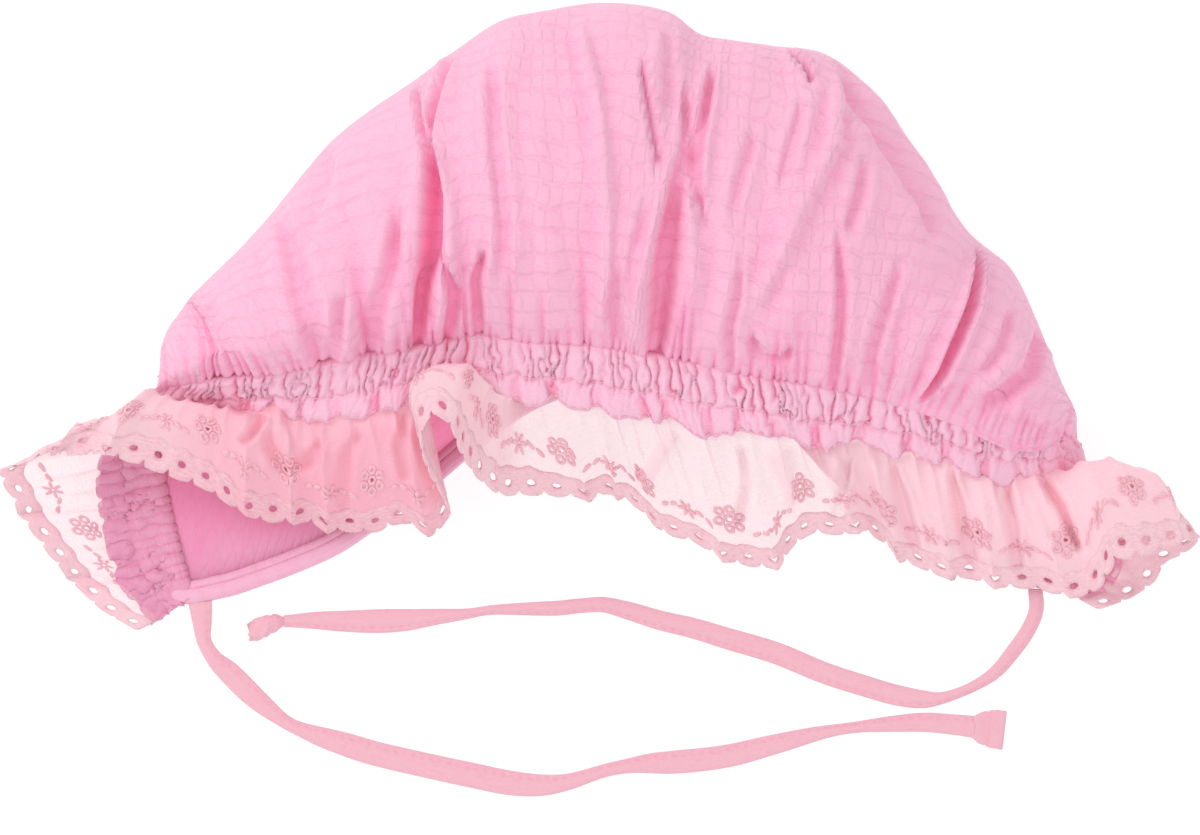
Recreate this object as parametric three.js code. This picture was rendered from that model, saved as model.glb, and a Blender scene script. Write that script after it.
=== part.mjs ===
// Baby sun hat in double gauze, lying on its back: a puffy crown, an elastic casing along the face edge
// with a scalloped lace ruffle, a plain nape hem and two long ties. Millimetres, +Z up, brim towards -Y.
import * as THREE from "three";

// Cloth thicknesses and seam widths
const CROWN_CLOTH = 1.2;
const CASING_CLOTH = 2.4;
const HEM_CLOTH = 1.8;
const RUFFLE_CLOTH = 1;
const HEM_WIDTH = 4.5;

// Gaps at the seams: at the casing and the hem, between crown and casing where the face edge lies level
// and where it climbs, and between casing and ruffle along and above the casing
const SEAM_GAP = 0.3;
const RIM_INSET = 0.5;
const STEEP_RIM_INSET = 2.6;
const RUFFLE_GAP = 0.7;
const RUFFLE_LIFT = 0.4;

// How far short of the casing the hem starts and stops, as shares of the crown's end sections
const HEM_START = 0.25;
const HEM_STOP = 0.3;

// Gathers along the casing and scallops along the ruffle's border
const GATHERS = 90;
const GATHER_DEPTH = 0.8;
const RIM_PLEAT = 0.7;
const RIM_PLEAT_REACH = 0.35;
const SCALLOPS = 62;
const SCALLOP_DEPTH = 1.3;

// The ties: a folded tube of cloth, laid on the surface
const TIE_WIDTH = 4.8;
const TIE_THICKNESS = 1.6;
const TIE_SIDES = 8;
const TIE_STEPS = 48;

// How finely the lofts are cut, and the step in stations over which a direction is read
const STATION_STEP = 0.1;
const CROWN_SECTIONS = 62;
const CROWN_STEPS = 16;
const HEM_SECTIONS = 40;
const STEPS_PER_GATHER = 2;
const STEPS_PER_SCALLOP = 3;
const RUFFLE_STEPS = 3;

// Turns short rows of numbers into objects with the named columns.
const table = (columns, rows) =>
  rows.map((row) => Object.fromEntries(columns.map((name, i) => [name, row[i]])));

// The face edge, from the left corner round the front to the right corner. Its stations are the row
// numbers. Top is where the crown is gathered into the casing, foot is where the ruffle is sewn on.
const FACE = table(
  ["topX", "topY", "topZ", "footX", "footY", "footZ"],
  [
    [-107.4, -74.1, 0, -116.5, -80.3, 0],
    [-110.5, -63.7, 0, -125.6, -68.9, 0],
    [-113.1, -53.3, 0, -129.2, -55.9, 0],
    [-115.2, -42.9, 0.4, -131, -46, 1],
    [-117.8, -33.8, 4, -130.8, -37.7, 6],
    [-118.3, -26, 12, -127.1, -32.5, 12],
    [-114.7, -20, 19, -119.9, -28.6, 15],
    [-104.3, -17.9, 26, -105.6, -25.2, 18],
    [-84.8, -15.9, 32, -84.8, -26.5, 25],
    [-64.7, -12, 36, -66.6, -27.8, 31],
    [-45, -8.8, 38, -47.1, -22.9, 35],
    [-32.2, -6, 39, -31.5, -21.6, 36],
    [-19.2, -7.8, 40, -18.5, -22.9, 36],
    [-1.8, -8.8, 40, -0.3, -25.7, 36],
    [10.9, -10.9, 40, 12.7, -28.3, 35],
    [22.1, -13, 40, 25.7, -30.2, 35],
    [42.1, -17.4, 39, 43.9, -32.8, 34],
    [53.8, -19, 38, 55.6, -34.3, 33],
    [66.6, -21.3, 36, 67.3, -34.3, 31],
    [80.3, -23.4, 34, 81.6, -37.7, 29],
    [97.2, -27.6, 30, 97.2, -42.4, 25],
    [111.5, -31.5, 25, 111.5, -42.9, 18],
    [121.9, -32, 17, 124.5, -43.5, 12],
    [125.8, -37.7, 8, 133, -50, 7],
    [124.5, -46.8, 2.5, 136, -57.5, 3],
    [121.9, -55.9, 0.4, 135.5, -65, 1],
    [119.9, -63.7, 0, 131.5, -72, 0],
    [115.4, -68.9, 0, 126, -74.6, 0],
  ],
);

// The crown's sections, left to right: the station of the face edge where each starts, its outermost
// point, the height of its puff, and how far it puffs out over the casing.
const CROWN = table(
  ["station", "outX", "outY", "height", "puff"],
  [
    [5.2, -115.6, -24.2, 13.2, 0],
    [5.6, -113.6, -18.2, 16.6, 0],
    [6.3, -113.9, -7.8, 27, 0],
    [7, -108.2, 2.3, 37, 1],
    [7.5, -105.6, 5.5, 44, 1],
    [8.1, -95.9, 14.8, 48, 1],
    [8.6, -83.2, 28.6, 52, 1],
    [9.2, -69.2, 45.5, 55, 1],
    [9.9, -47.1, 61.6, 57, 1],
    [10.7, -37.7, 68.4, 59, 1],
    [11.6, -25.5, 76.2, 60, 1],
    [12.4, -14.6, 78.5, 60, 1],
    [13.2, -0.3, 80.6, 60, 1],
    [13.6, 17.4, 78.3, 60, 1],
    [14, 25.7, 72.5, 59, 1],
    [15, 33.5, 71, 59, 1],
    [15.8, 45.2, 69.4, 58, 1],
    [16.7, 57.5, 67.6, 57, 1],
    [17.5, 68.9, 59.3, 55, 1],
    [18.2, 81.6, 42.4, 52, 1.5],
    [18.8, 94.6, 22.1, 48, 2],
    [19.6, 106.3, 11.7, 44, 3],
    [20.4, 113.1, -1.8, 39, 5],
    [21.3, 119.6, -17.7, 31, 4],
    [21.9, 123.5, -26.5, 20, 0],
    [22.4, 122.2, -34.6, 12.4, 0],
  ],
);

// The crown's lower edge under those sections: along the casing at either end, along the hem between.
const LOW_LEFT_STATIONS = [4.75, 3.4, 1.9, 0.5];
const LOW_NAPE = table(
  ["x", "y"],
  [
    [-99, -68.6],
    [-88.7, -65.3],
    [-80.2, -62.1],
    [-70.3, -57.6],
    [-60.3, -50.9],
    [-47.5, -41.6],
    [-34.5, -30.7],
    [-21, -21],
    [-8.3, -15.7],
    [4, -12.6],
    [15.4, -11.5],
    [27.1, -13.2],
    [39.8, -18.6],
    [52.3, -27.5],
    [62.9, -38.8],
    [73.9, -47.9],
    [84.9, -53.2],
    [100.3, -59.6],
  ],
);
const LOW_RIGHT_STATIONS = [26.4, 25.6, 24.5, 23.1];

// A crown section's own shape. Shares count on top from the casing to the outline, and under it from the
// outline to the lower edge. A level is a share of the rise from the casing, or of the whole height.
const RISING = table(
  ["share", "level"],
  [
    [0, 0.3],
    [0.05, 0.7],
    [0.28, 1],
  ],
);
const FALLING = table(
  ["share", "level"],
  [
    [0.6, 0.96],
    [0.86, 0.74],
    [1, 0.36],
  ],
);
const UNDER = table(
  ["share", "level"],
  [
    [0.04, 0.1],
    [0.14, 0],
    [0.4, 0],
  ],
);

// Creases that run up the crown: the section where one leaves the casing, how far it leans by the
// outline, its half width in sections, its depth, and the shares of the way up where it starts and ends.
const CREASES = table(
  ["section", "lean", "width", "depth", "from", "to"],
  [
    [3.7, 0, 0.5, 5, 0, 1],
    [5.9, 0.1, 0.4, 4, 0, 0.95],
    [6.6, 0.2, 0.3, 2, 0.05, 0.4],
    [7.1, 0.7, 0.4, 3, 0, 0.7],
    [8, 0, 0.5, 7, 0, 0.9],
    [8.9, 0.3, 0.3, 2, 0.05, 0.45],
    [10.2, -0.2, 0.5, 2.5, 0, 0.95],
    [13.4, 0.6, 0.5, 8, 0, 0.9],
    [14.8, -0.3, 0.3, 2.5, 0.3, 1],
    [16.6, 0.9, 0.5, 4, 0.25, 1],
    [17.9, 0.2, 0.4, 3, 0, 0.5],
    [19.7, 0.4, 0.5, 7, 0, 0.95],
    [22, 0.2, 0.5, 4, 0.1, 0.8],
  ],
);

// The ruffle's ribs along the face edge: where each ends at the scalloped border, and how far the cloth
// between bulges off the straight way there.
const RIBS = table(
  ["station", "edgeX", "edgeY", "edgeZ", "bulgeX", "bulgeY", "bulgeZ"],
  [
    [0, -120.4, -81.8, 1, 0, 0, 0],
    [0.5, -129, -76.5, 2, 0, 0, 0.5],
    [1, -136, -70, 5, 0, 0, 0],
    [1.6, -142.7, -62.2, 8, 0, 0, 0],
    [2.2, -147.7, -55, 11, 0, 0, 0],
    [3, -151.8, -48.1, 14, 0, 0, 0],
    [3.7, -154.4, -43.4, 16, 0, 0, 0],
    [4.4, -155.2, -39.5, 18, 0, 2, 2],
    [4.9, -150.5, -37.2, 20, 0, 4, 6],
    [5.3, -143.8, -35.6, 22, 0, 5, 9],
    [5.8, -136.8, -34.8, 23, 0, 7, 12],
    [6.2, -129.7, -35.6, 24, 0, 8, 14],
    [6.6, -119.9, -37.7, 24, 0, 9, 14],
    [7, -110.8, -41.3, 22, 0, 8, 14],
    [7.35, -102.2, -44.7, 19, 0, 7, 13],
    [7.7, -93.9, -49.9, 15, 0, 5, 11],
    [8, -85.5, -53.3, 12, 0, 3, 9],
    [8.35, -77.5, -53.3, 12, 0, 0, 5],
    [8.7, -69.2, -55.6, 9, 0, 0, 5],
    [9.1, -59.5, -56.2, 9, 0, 0, 6],
    [9.45, -51, -53.3, 12, 0, 0, 5],
    [9.75, -43.9, -55.9, 10, 0, 0, 3],
    [9.95, -40.6, -52.8, 12, 0, 1, 3],
    [10.15, -41.9, -46.8, 20, -4, 4, 7],
    [10.35, -46, -38.2, 32, -7, 8, 10],
    [10.55, -46.8, -29.4, 42, -8, 9, 11],
    [10.75, -42.9, -25, 46, -5, 10, 10],
    [10.95, -38.5, -28.3, 44, 0, 10, 9],
    [11.15, -35.6, -35.6, 34, 1, 10, 10],
    [11.35, -31.5, -41.9, 24, 0, 9, 9],
    [11.6, -25.5, -45.5, 15, 0, 7, 8],
    [11.9, -17.2, -46.5, 11, 0, 5, 7],
    [12.3, -9.4, -47.3, 9, 0, 1, 6],
    [12.7, -1, -47, 9, 0, 0, 6],
    [13, 4.5, -46.8, 10, 0, 0, 6],
    [13.3, 9, -50.5, 9, 0, 0, 5],
    [13.55, 15.3, -56.2, 7, 0, 0, 5],
    [14, 23.1, -58.8, 5, 0, 0, 5],
    [14.6, 30.4, -61.9, 4, 0, 0, 5],
    [15.2, 38.2, -65.3, 3, 0, 0, 5],
    [15.7, 46, -64.5, 4, 0, 0, 6],
    [16, 48.9, -60.8, 8, 0, 0, 6],
    [16.3, 54.9, -56.4, 13, 0, 0, 5],
    [16.8, 62.7, -56.2, 13, 0, 0, 4],
    [17.3, 67.9, -54.9, 14, 0, 0, 4],
    [17.8, 72.5, -58.8, 10, 0, 0, 4],
    [18.3, 79, -63.7, 8, 0, 0, 4],
    [18.8, 85.5, -66.8, 7, 0, 0, 4],
    [19.3, 92.8, -67.9, 6, 0, 0, 4],
    [19.9, 101.1, -69.2, 6, 0, 0, 5],
    [20.4, 110.2, -70.5, 6, 0, 0, 6],
    [20.9, 119.3, -72, 6, 0, 0, 6],
    [21.3, 127.1, -71.5, 9, 0, 2, 8],
    [21.6, 130.5, -66.8, 14, 0, 8, 13],
    [21.9, 132.9, -62.7, 18, 1, 12, 14],
    [22.2, 138.8, -61.9, 18, 2, 14, 13],
    [22.5, 145.9, -60.1, 15, 3, 14, 12],
    [22.8, 151.6, -58.5, 12, 2, 13, 10],
    [23.2, 155.2, -56.7, 8, 0, 10, 8],
    [23.8, 151.1, -60.8, 4, 0, 5, 4],
    [24.4, 146.1, -63.7, 2.5, 0, 1, 2],
    [25, 143.3, -68.9, 1.5, 0, 0, 0.5],
    [25.6, 138.8, -72.5, 1, 0, 0, 0],
    [26.2, 134.2, -74.6, 1, 0, 0, 0],
    [27, 128.9, -76.4, 1, 0, 0, 0],
  ],
);

// How gently creases start and stop, and how far past the outline they may reach
const CREASE_FADE = 0.12;
const CREASE_LIMIT = 1.1;

// Shares of a rib's length where its bulge is held, and how much of the bulge is reached there
const BULGE_SHARES = [0.25, 0.6];
const BULGE_FILL = 0.8;

// The ties' routes over the surface, chosen by hand, from the corner to the free end.
const LEFT_TIE = table(
  ["x", "y"],
  [
    [-104.2, -74.4],
    [-103.7, -79.6],
    [-103.2, -84.5],
    [-100.6, -89.2],
    [-96.5, -93.1],
    [-90.7, -98.8],
    [-86.1, -102.7],
    [-81.1, -106.3],
    [-74.9, -108.9],
    [-66.8, -111.5],
    [-59, -113.9],
    [-47.1, -116.7],
    [-35.1, -119.3],
    [-23.1, -121.7],
    [-15.1, -122.2],
    [-8.8, -121.4],
    [2.3, -118.1],
    [10.9, -116.7],
    [19.5, -116.2],
    [32.5, -114.7],
    [45.5, -111.5],
    [58.2, -108.4],
    [66.8, -107.1],
    [75.7, -106.3],
    [84.2, -105.9],
    [92.8, -106.6],
    [97.2, -107.1],
  ],
);
const RIGHT_TIE = table(
  ["x", "y"],
  [
    [112.9, -71.2],
    [113.1, -76.7],
    [111, -81.9],
    [107.4, -87.1],
    [102.2, -93.1],
    [95.4, -97.2],
    [88.4, -99.6],
    [84.2, -99.9],
    [77.2, -98.9],
    [66.8, -95.9],
    [58.2, -93.1],
    [45.5, -87.9],
    [32.5, -84],
    [23.9, -81.4],
    [15.1, -79.3],
    [6.5, -76.7],
    [0.5, -75.3],
    [-5.5, -75.6],
    [-11.2, -76.2],
    [-19.2, -76.4],
    [-28.6, -76.7],
    [-35.1, -77.7],
    [-43.2, -78.5],
    [-51, -79.3],
    [-59, -79.6],
    [-66.8, -79.6],
    [-74.9, -79.4],
    [-82.4, -79.6],
  ],
);
const TAB = { length: 7.8, width: 10.2, thickness: 2.2, sides: 4 };
const KNOT = { length: 9, width: 6.8, thickness: 4.2, sides: 8 };

// Colours of the cloths
const CLOTH = {
  gauze: { color: 0xf8bfd7, roughness: 0.95 },
  casing: { color: 0xf5b9cf, roughness: 0.95 },
  hem: { color: 0xefa7c1, roughness: 0.95 },
  lace: { color: 0xf6cdd7, roughness: 0.9 },
  tie: { color: 0xf6c2ce, roughness: 0.95 },
};

const vector = (x, y, z) => new THREE.Vector3(x, y, z);
const smooth = (points) => new THREE.CatmullRomCurve3(points, false, "centripetal");
const SURFACE = vector(-Infinity, -Infinity, 0);
const clamp01 = (value) => Math.min(1, Math.max(0, value));
const smoothstep = (from, to, value) => {
  const share = clamp01((value - from) / (to - from));
  return share * share * (3 - 2 * share);
};

// A curve through evenly numbered rows, read at any row number in between, and never below the surface.
const throughRows = (rows, point) => {
  const curve = smooth(rows.map(point));
  return (at) => curve.getPoint(clamp01(at / (rows.length - 1))).max(SURFACE);
};

const topAt = throughRows(FACE, (row) => vector(row.topX, row.topY, row.topZ));
const footAt = throughRows(FACE, (row) => vector(row.footX, row.footY, row.footZ));

// The direction in which a line along the face edge runs at a station.
const alongAt = (lineAt, station) =>
  lineAt(station + STATION_STEP)
    .sub(lineAt(station - STATION_STEP))
    .normalize();

// The crown's own edge along the casing: its top line, set back by the seam, and further where it climbs.
const rimAt = (station) => {
  const top = topAt(station);
  const back = top.clone().sub(footAt(station)).normalize();
  const along = alongAt(topAt, station);
  return top.addScaledVector(back, RIM_INSET + STEEP_RIM_INSET * Math.abs(along.z)).max(SURFACE);
};

// A closed body from a grid of points. The grid is the cloth's outer face, whose normals are the cross
// product of its rows' and its columns' directions, and the inner face lies a thickness behind it.
function clothFrom(grid, thickness) {
  const rows = grid.length;
  const columns = grid[0].length;
  const step = (at, size, read) => read(Math.min(size - 1, at + 1)).clone().sub(read(Math.max(0, at - 1)));
  const normal = (i, j) =>
    step(i, rows, (k) => grid[k][j])
      .cross(step(j, columns, (k) => grid[i][k]))
      .normalize();
  const behindPoint = (point, i, j) => point.clone().addScaledVector(normal(i, j), -thickness);
  const back = grid.map((row, i) => row.map((point, j) => behindPoint(point, i, j)));
  const positions = [...grid.flat(), ...back.flat()].flatMap((point) => point.toArray());
  const front = (i, j) => i * columns + j;
  const behind = (i, j) => rows * columns + front(i, j);
  const faces = [];
  const quad = (a, b, c, d) => faces.push(a, b, c, a, c, d);
  const last = columns - 1;
  for (let i = 0; i < rows - 1; i += 1) {
    for (let j = 0; j < columns - 1; j += 1) {
      quad(front(i, j), front(i + 1, j), front(i + 1, j + 1), front(i, j + 1));
      quad(behind(i, j), behind(i, j + 1), behind(i + 1, j + 1), behind(i + 1, j));
    }
    quad(front(i + 1, 0), front(i, 0), behind(i, 0), behind(i + 1, 0));
    quad(front(i, last), front(i + 1, last), behind(i + 1, last), behind(i, last));
  }
  for (let j = 0; j < columns - 1; j += 1) {
    quad(front(0, j), front(0, j + 1), behind(0, j + 1), behind(0, j));
    quad(front(rows - 1, j + 1), front(rows - 1, j), behind(rows - 1, j), behind(rows - 1, j + 1));
  }
  const geometry = new THREE.BufferGeometry();
  geometry.setAttribute("position", new THREE.Float32BufferAttribute(positions, 3));
  geometry.setIndex(faces);
  return geometry;
}

// How deep the crown's creases are at a section and a share of the way from the casing to the outline.
function creaseDepth(section, share) {
  return CREASES.reduce((depth, crease) => {
    const middle = crease.section + crease.lean * share;
    const across = (section - middle) / crease.width;
    const starts = smoothstep(crease.from - CREASE_FADE, crease.from + CREASE_FADE, share);
    const stops = smoothstep(crease.to - CREASE_FADE, crease.to + CREASE_FADE, share);
    return depth + crease.depth * starts * (1 - stops) * Math.exp(-across * across);
  }, 0);
}

// One section of the crown as a curve in space: from the casing over the puff to the outline, then back
// under along the surface to the lower edge.
function crownSection(start, out, low, height, puff) {
  const way = vector(out.x - start.x, out.y - start.y, 0);
  const back = vector(low.x - out.x, low.y - out.y, 0);
  const reach = Math.max(way.length(), 1);
  const above = (share, level) => vector(start.x + way.x * share, start.y + way.y * share, level);
  const under = (share, level) => vector(out.x + back.x * share, out.y + back.y * share, level);
  const rise = height - start.z;
  const over = (row, i) => above(row.share - (i === 0 ? puff / reach : 0), start.z + rise * row.level);
  return smooth([
    start,
    ...RISING.map(over),
    ...FALLING.map((row) => above(row.share, height * row.level)),
    ...UNDER.map((row) => under(row.share, height * row.level)),
    low,
  ]);
}

// The share of a section's curve at which its outline lies
const OUTLINE_SHARE = (RISING.length + FALLING.length) / (RISING.length + FALLING.length + UNDER.length + 1);

const lowEdge = smooth([
  ...LOW_LEFT_STATIONS.map(rimAt),
  ...LOW_NAPE.map((row) => vector(row.x, row.y, 0)),
  ...LOW_RIGHT_STATIONS.map(rimAt),
]);

function makeCrown() {
  const outAt = throughRows(CROWN, (row) => vector(row.outX, row.outY, 0));
  const shapeAt = throughRows(CROWN, (row) => vector(row.station, row.height, row.puff));
  const grid = [];
  for (let i = 0; i <= CROWN_SECTIONS; i += 1) {
    const share = i / CROWN_SECTIONS;
    const section = share * (CROWN.length - 1);
    const shape = shapeAt(section);
    const start = rimAt(shape.x);
    const out = outAt(section);
    const ahead = out.clone().sub(start).setZ(0).normalize();
    const curve = crownSection(start, out, lowEdge.getPoint(share), shape.y, shape.z);
    const pleat = i % 2 === 0 ? RIM_PLEAT : 0;
    const row = [];
    for (let j = 0; j <= CROWN_STEPS; j += 1) {
      const along = j / CROWN_STEPS;
      const point = curve.getPoint(along);
      const up = along / OUTLINE_SHARE;
      const tangent = curve.getTangent(along);
      const inwards = ahead.clone().multiplyScalar(tangent.z).setZ(-tangent.dot(ahead)).normalize();
      const pleated = pleat * (1 - smoothstep(0, RIM_PLEAT_REACH, up));
      if (j > 0 && up < CREASE_LIMIT) point.addScaledVector(inwards, creaseDepth(section, up) + pleated);
      point.z = Math.max(0, point.z);
      row.push(point);
    }
    grid.push(row);
  }
  return clothFrom(grid, CROWN_CLOTH);
}

function makeCasing() {
  const steps = GATHERS * STEPS_PER_GATHER;
  const grid = [];
  for (let i = 0; i <= steps; i += 1) {
    const station = (i / steps) * (FACE.length - 1);
    const top = topAt(station);
    const foot = footAt(station);
    const across = foot.clone().sub(top).normalize();
    top.addScaledVector(across, SEAM_GAP);
    const inwards = alongAt(topAt, station).cross(across).normalize();
    const dip = i % STEPS_PER_GATHER === 0 ? 0 : GATHER_DEPTH;
    const middle = top.clone().lerp(foot, 0.5).addScaledVector(inwards, dip * 0.5);
    grid.push([foot.addScaledVector(inwards, dip), middle, top.addScaledVector(inwards, dip)]);
  }
  return clothFrom(grid, CASING_CLOTH);
}

function makeHem() {
  const grid = [];
  const first = LOW_LEFT_STATIONS.length - 1 + HEM_START;
  const last = LOW_LEFT_STATIONS.length + LOW_NAPE.length - HEM_STOP;
  const pieces = CROWN.length - 1;
  for (let i = 0; i <= HEM_SECTIONS; i += 1) {
    const share = THREE.MathUtils.lerp(first, last, i / HEM_SECTIONS) / pieces;
    const edge = lowEdge.getPoint(share);
    const along = lowEdge.getTangent(share);
    const outwards = vector(along.y, -along.x, 0).normalize();
    const inner = edge.clone().addScaledVector(outwards, SEAM_GAP).setZ(0);
    const outer = edge.clone().addScaledVector(outwards, SEAM_GAP + HEM_WIDTH).setZ(0);
    grid.push([inner, outer]);
  }
  return clothFrom(grid, HEM_CLOTH);
}

function makeRuffle() {
  const edgeAt = throughRows(RIBS, (row) => vector(row.edgeX, row.edgeY, row.edgeZ));
  const bulgeAt = throughRows(RIBS, (row) => vector(row.bulgeX, row.bulgeY, row.bulgeZ));
  const steps = SCALLOPS * STEPS_PER_SCALLOP;
  const grid = [];
  for (let i = 0; i <= steps; i += 1) {
    const rib = (i / steps) * (RIBS.length - 1);
    const from = RIBS[Math.floor(rib)].station;
    const to = RIBS[Math.min(RIBS.length - 1, Math.floor(rib) + 1)].station;
    const station = from + (to - from) * (rib % 1);
    const foot = footAt(station);
    const across = foot.clone().sub(topAt(station)).normalize();
    const inwards = alongAt(footAt, station).cross(across).normalize();
    const base = foot.addScaledVector(across, RUFFLE_GAP).addScaledVector(inwards, -RUFFLE_LIFT);
    const edge = edgeAt(rib);
    const reach = edge.clone().sub(base);
    const tip = i % STEPS_PER_SCALLOP === 0 ? 0 : SCALLOP_DEPTH / reach.length();
    const bulge = bulgeAt(rib).multiplyScalar(BULGE_FILL);
    const curve = smooth([
      base,
      ...BULGE_SHARES.map((share) => base.clone().addScaledVector(reach, share).add(bulge)),
      base.clone().addScaledVector(reach, 1 + tip),
    ]);
    const row = [];
    for (let j = 0; j <= RUFFLE_STEPS; j += 1) row.push(curve.getPoint(j / RUFFLE_STEPS));
    row.forEach((point) => point.setZ(Math.max(RUFFLE_CLOTH, point.z)));
    grid.push(row.reverse());
  }
  return clothFrom(grid, RUFFLE_CLOTH);
}

// A flat oval section swept along a route on the surface.
function makeTie(route) {
  const lift = TIE_THICKNESS / 2;
  const path = smooth(route.map((row) => vector(row.x, row.y, lift)));
  const section = new THREE.Shape();
  for (let side = 0; side < TIE_SIDES; side += 1) {
    const angle = ((side + 0.5) / TIE_SIDES) * 2 * Math.PI;
    const fill = 1 / Math.cos(Math.PI / TIE_SIDES);
    const x = Math.cos(angle) * lift * fill;
    const y = (Math.sin(angle) * fill * TIE_WIDTH) / 2;
    if (side === 0) section.moveTo(x, y);
    else section.lineTo(x, y);
  }
  return new THREE.ExtrudeGeometry(section, { steps: TIE_STEPS, extrudePath: path });
}

// A closed loft through rings of points, each ring with as many points as the next.
function loft(rings) {
  const count = rings[0].length;
  const positions = rings.flat().flatMap((point) => point.toArray());
  const faces = [];
  for (let i = 0; i < rings.length - 1; i += 1) {
    for (let j = 0; j < count; j += 1) {
      const next = (j + 1) % count;
      const [a, b] = [i * count + j, i * count + next];
      faces.push(a, b, b + count, a, b + count, a + count);
    }
  }
  for (let j = 1; j < count - 1; j += 1) {
    const last = (rings.length - 1) * count;
    faces.push(0, j + 1, j, last, last + j, last + j + 1);
  }
  const geometry = new THREE.BufferGeometry();
  geometry.setAttribute("position", new THREE.Float32BufferAttribute(positions, 3));
  geometry.setIndex(faces);
  return geometry;
}

// The folded end of the left tie: a flat tab with a thicker turned-back fold across its far end.
const TAB_RINGS = table(
  ["share", "width", "thickness"],
  [
    [0, 0.55, 0.8],
    [0.3, 0.82, 0.85],
    [0.6, 0.95, 0.8],
    [0.68, 0.97, 1],
    [0.95, 1, 1],
    [1, 0.97, 0.7],
  ],
);

// The pinched knot at the end of the right tie.
const KNOT_RINGS = table(
  ["share", "width", "thickness"],
  [
    [0, 0.4, 0.42],
    [0.15, 0.62, 0.7],
    [0.4, 0.9, 1],
    [0.6, 1, 0.95],
    [0.8, 0.85, 0.7],
    [1, 0.55, 0.4],
  ],
);

function makeTieEnd(route, rings, size) {
  const { sides } = size;
  const fill = 1 / Math.cos(Math.PI / sides);
  const end = route.at(-1);
  const before = route.at(-2);
  const heading = vector(end.x - before.x, end.y - before.y, 0).normalize();
  const aside = vector(-heading.y, heading.x, 0);
  const start = vector(end.x, end.y, 0).addScaledVector(heading, SEAM_GAP);
  return loft(
    rings.map((ring) => {
      const points = [];
      for (let side = 0; side < sides; side += 1) {
        const angle = ((side + 0.5) / sides) * 2 * Math.PI;
        const half = (size.thickness * ring.thickness) / 2;
        const reach = (Math.cos(angle) * fill * size.width * ring.width) / 2;
        const point = start.clone().addScaledVector(heading, ring.share * size.length);
        point.addScaledVector(aside, reach);
        point.z = half + Math.sin(angle) * fill * half;
        points.push(point);
      }
      return points;
    }),
  );
}

function piece(name, geometry, cloth) {
  const mesh = new THREE.Mesh(geometry, new THREE.MeshStandardMaterial({ ...cloth, metalness: 0 }));
  mesh.name = name;
  return mesh;
}

const body = new THREE.Group();
body.add(
  piece("crown", makeCrown(), CLOTH.gauze),
  piece("elastic_casing", makeCasing(), CLOTH.casing),
  piece("nape_hem", makeHem(), CLOTH.hem),
  piece("lace_ruffle", makeRuffle(), CLOTH.lace),
);

const ties = new THREE.Group();
ties.add(
  piece("left_tie", makeTie(LEFT_TIE), CLOTH.tie),
  piece("left_tie_end", makeTieEnd(LEFT_TIE, TAB_RINGS, TAB), CLOTH.tie),
  piece("right_tie", makeTie(RIGHT_TIE), CLOTH.tie),
  piece("right_tie_end", makeTieEnd(RIGHT_TIE, KNOT_RINGS, KNOT), CLOTH.tie),
);

// The body's middle, without the ties, stands over the origin.
const middle = new THREE.Box3().setFromObject(body, true).getCenter(vector(0, 0, 0));
const hat = new THREE.Group();
hat.add(body, ties);
hat.position.set(-middle.x, -middle.y, 0);

export default hat;
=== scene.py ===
"""A baby's sun hat in pink double gauze, lying on its back, with a lace ruffle and two ties."""
import logging
import math
from dataclasses import dataclass
from enum import Enum

import bpy
import numpy as np
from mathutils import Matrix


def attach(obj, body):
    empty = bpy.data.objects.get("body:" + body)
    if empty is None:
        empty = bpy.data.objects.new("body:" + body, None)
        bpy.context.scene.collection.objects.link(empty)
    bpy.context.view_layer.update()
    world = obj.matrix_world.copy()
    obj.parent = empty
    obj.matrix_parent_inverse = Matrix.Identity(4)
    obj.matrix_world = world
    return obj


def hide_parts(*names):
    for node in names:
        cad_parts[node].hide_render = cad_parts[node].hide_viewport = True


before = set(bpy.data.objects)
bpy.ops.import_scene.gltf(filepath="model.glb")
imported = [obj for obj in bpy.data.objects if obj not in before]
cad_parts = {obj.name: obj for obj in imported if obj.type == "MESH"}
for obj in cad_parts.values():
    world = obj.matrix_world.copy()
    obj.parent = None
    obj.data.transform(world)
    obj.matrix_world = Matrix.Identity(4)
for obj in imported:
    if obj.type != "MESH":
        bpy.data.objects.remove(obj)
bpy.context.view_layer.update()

LOG = logging.getLogger("sun_hat")
MM = 0.001

# The hat's own tables are in millimetres, and this moves them over the frame's origin.
SHIFT = np.array([0.0986, 0.6790, 0.0])

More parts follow.
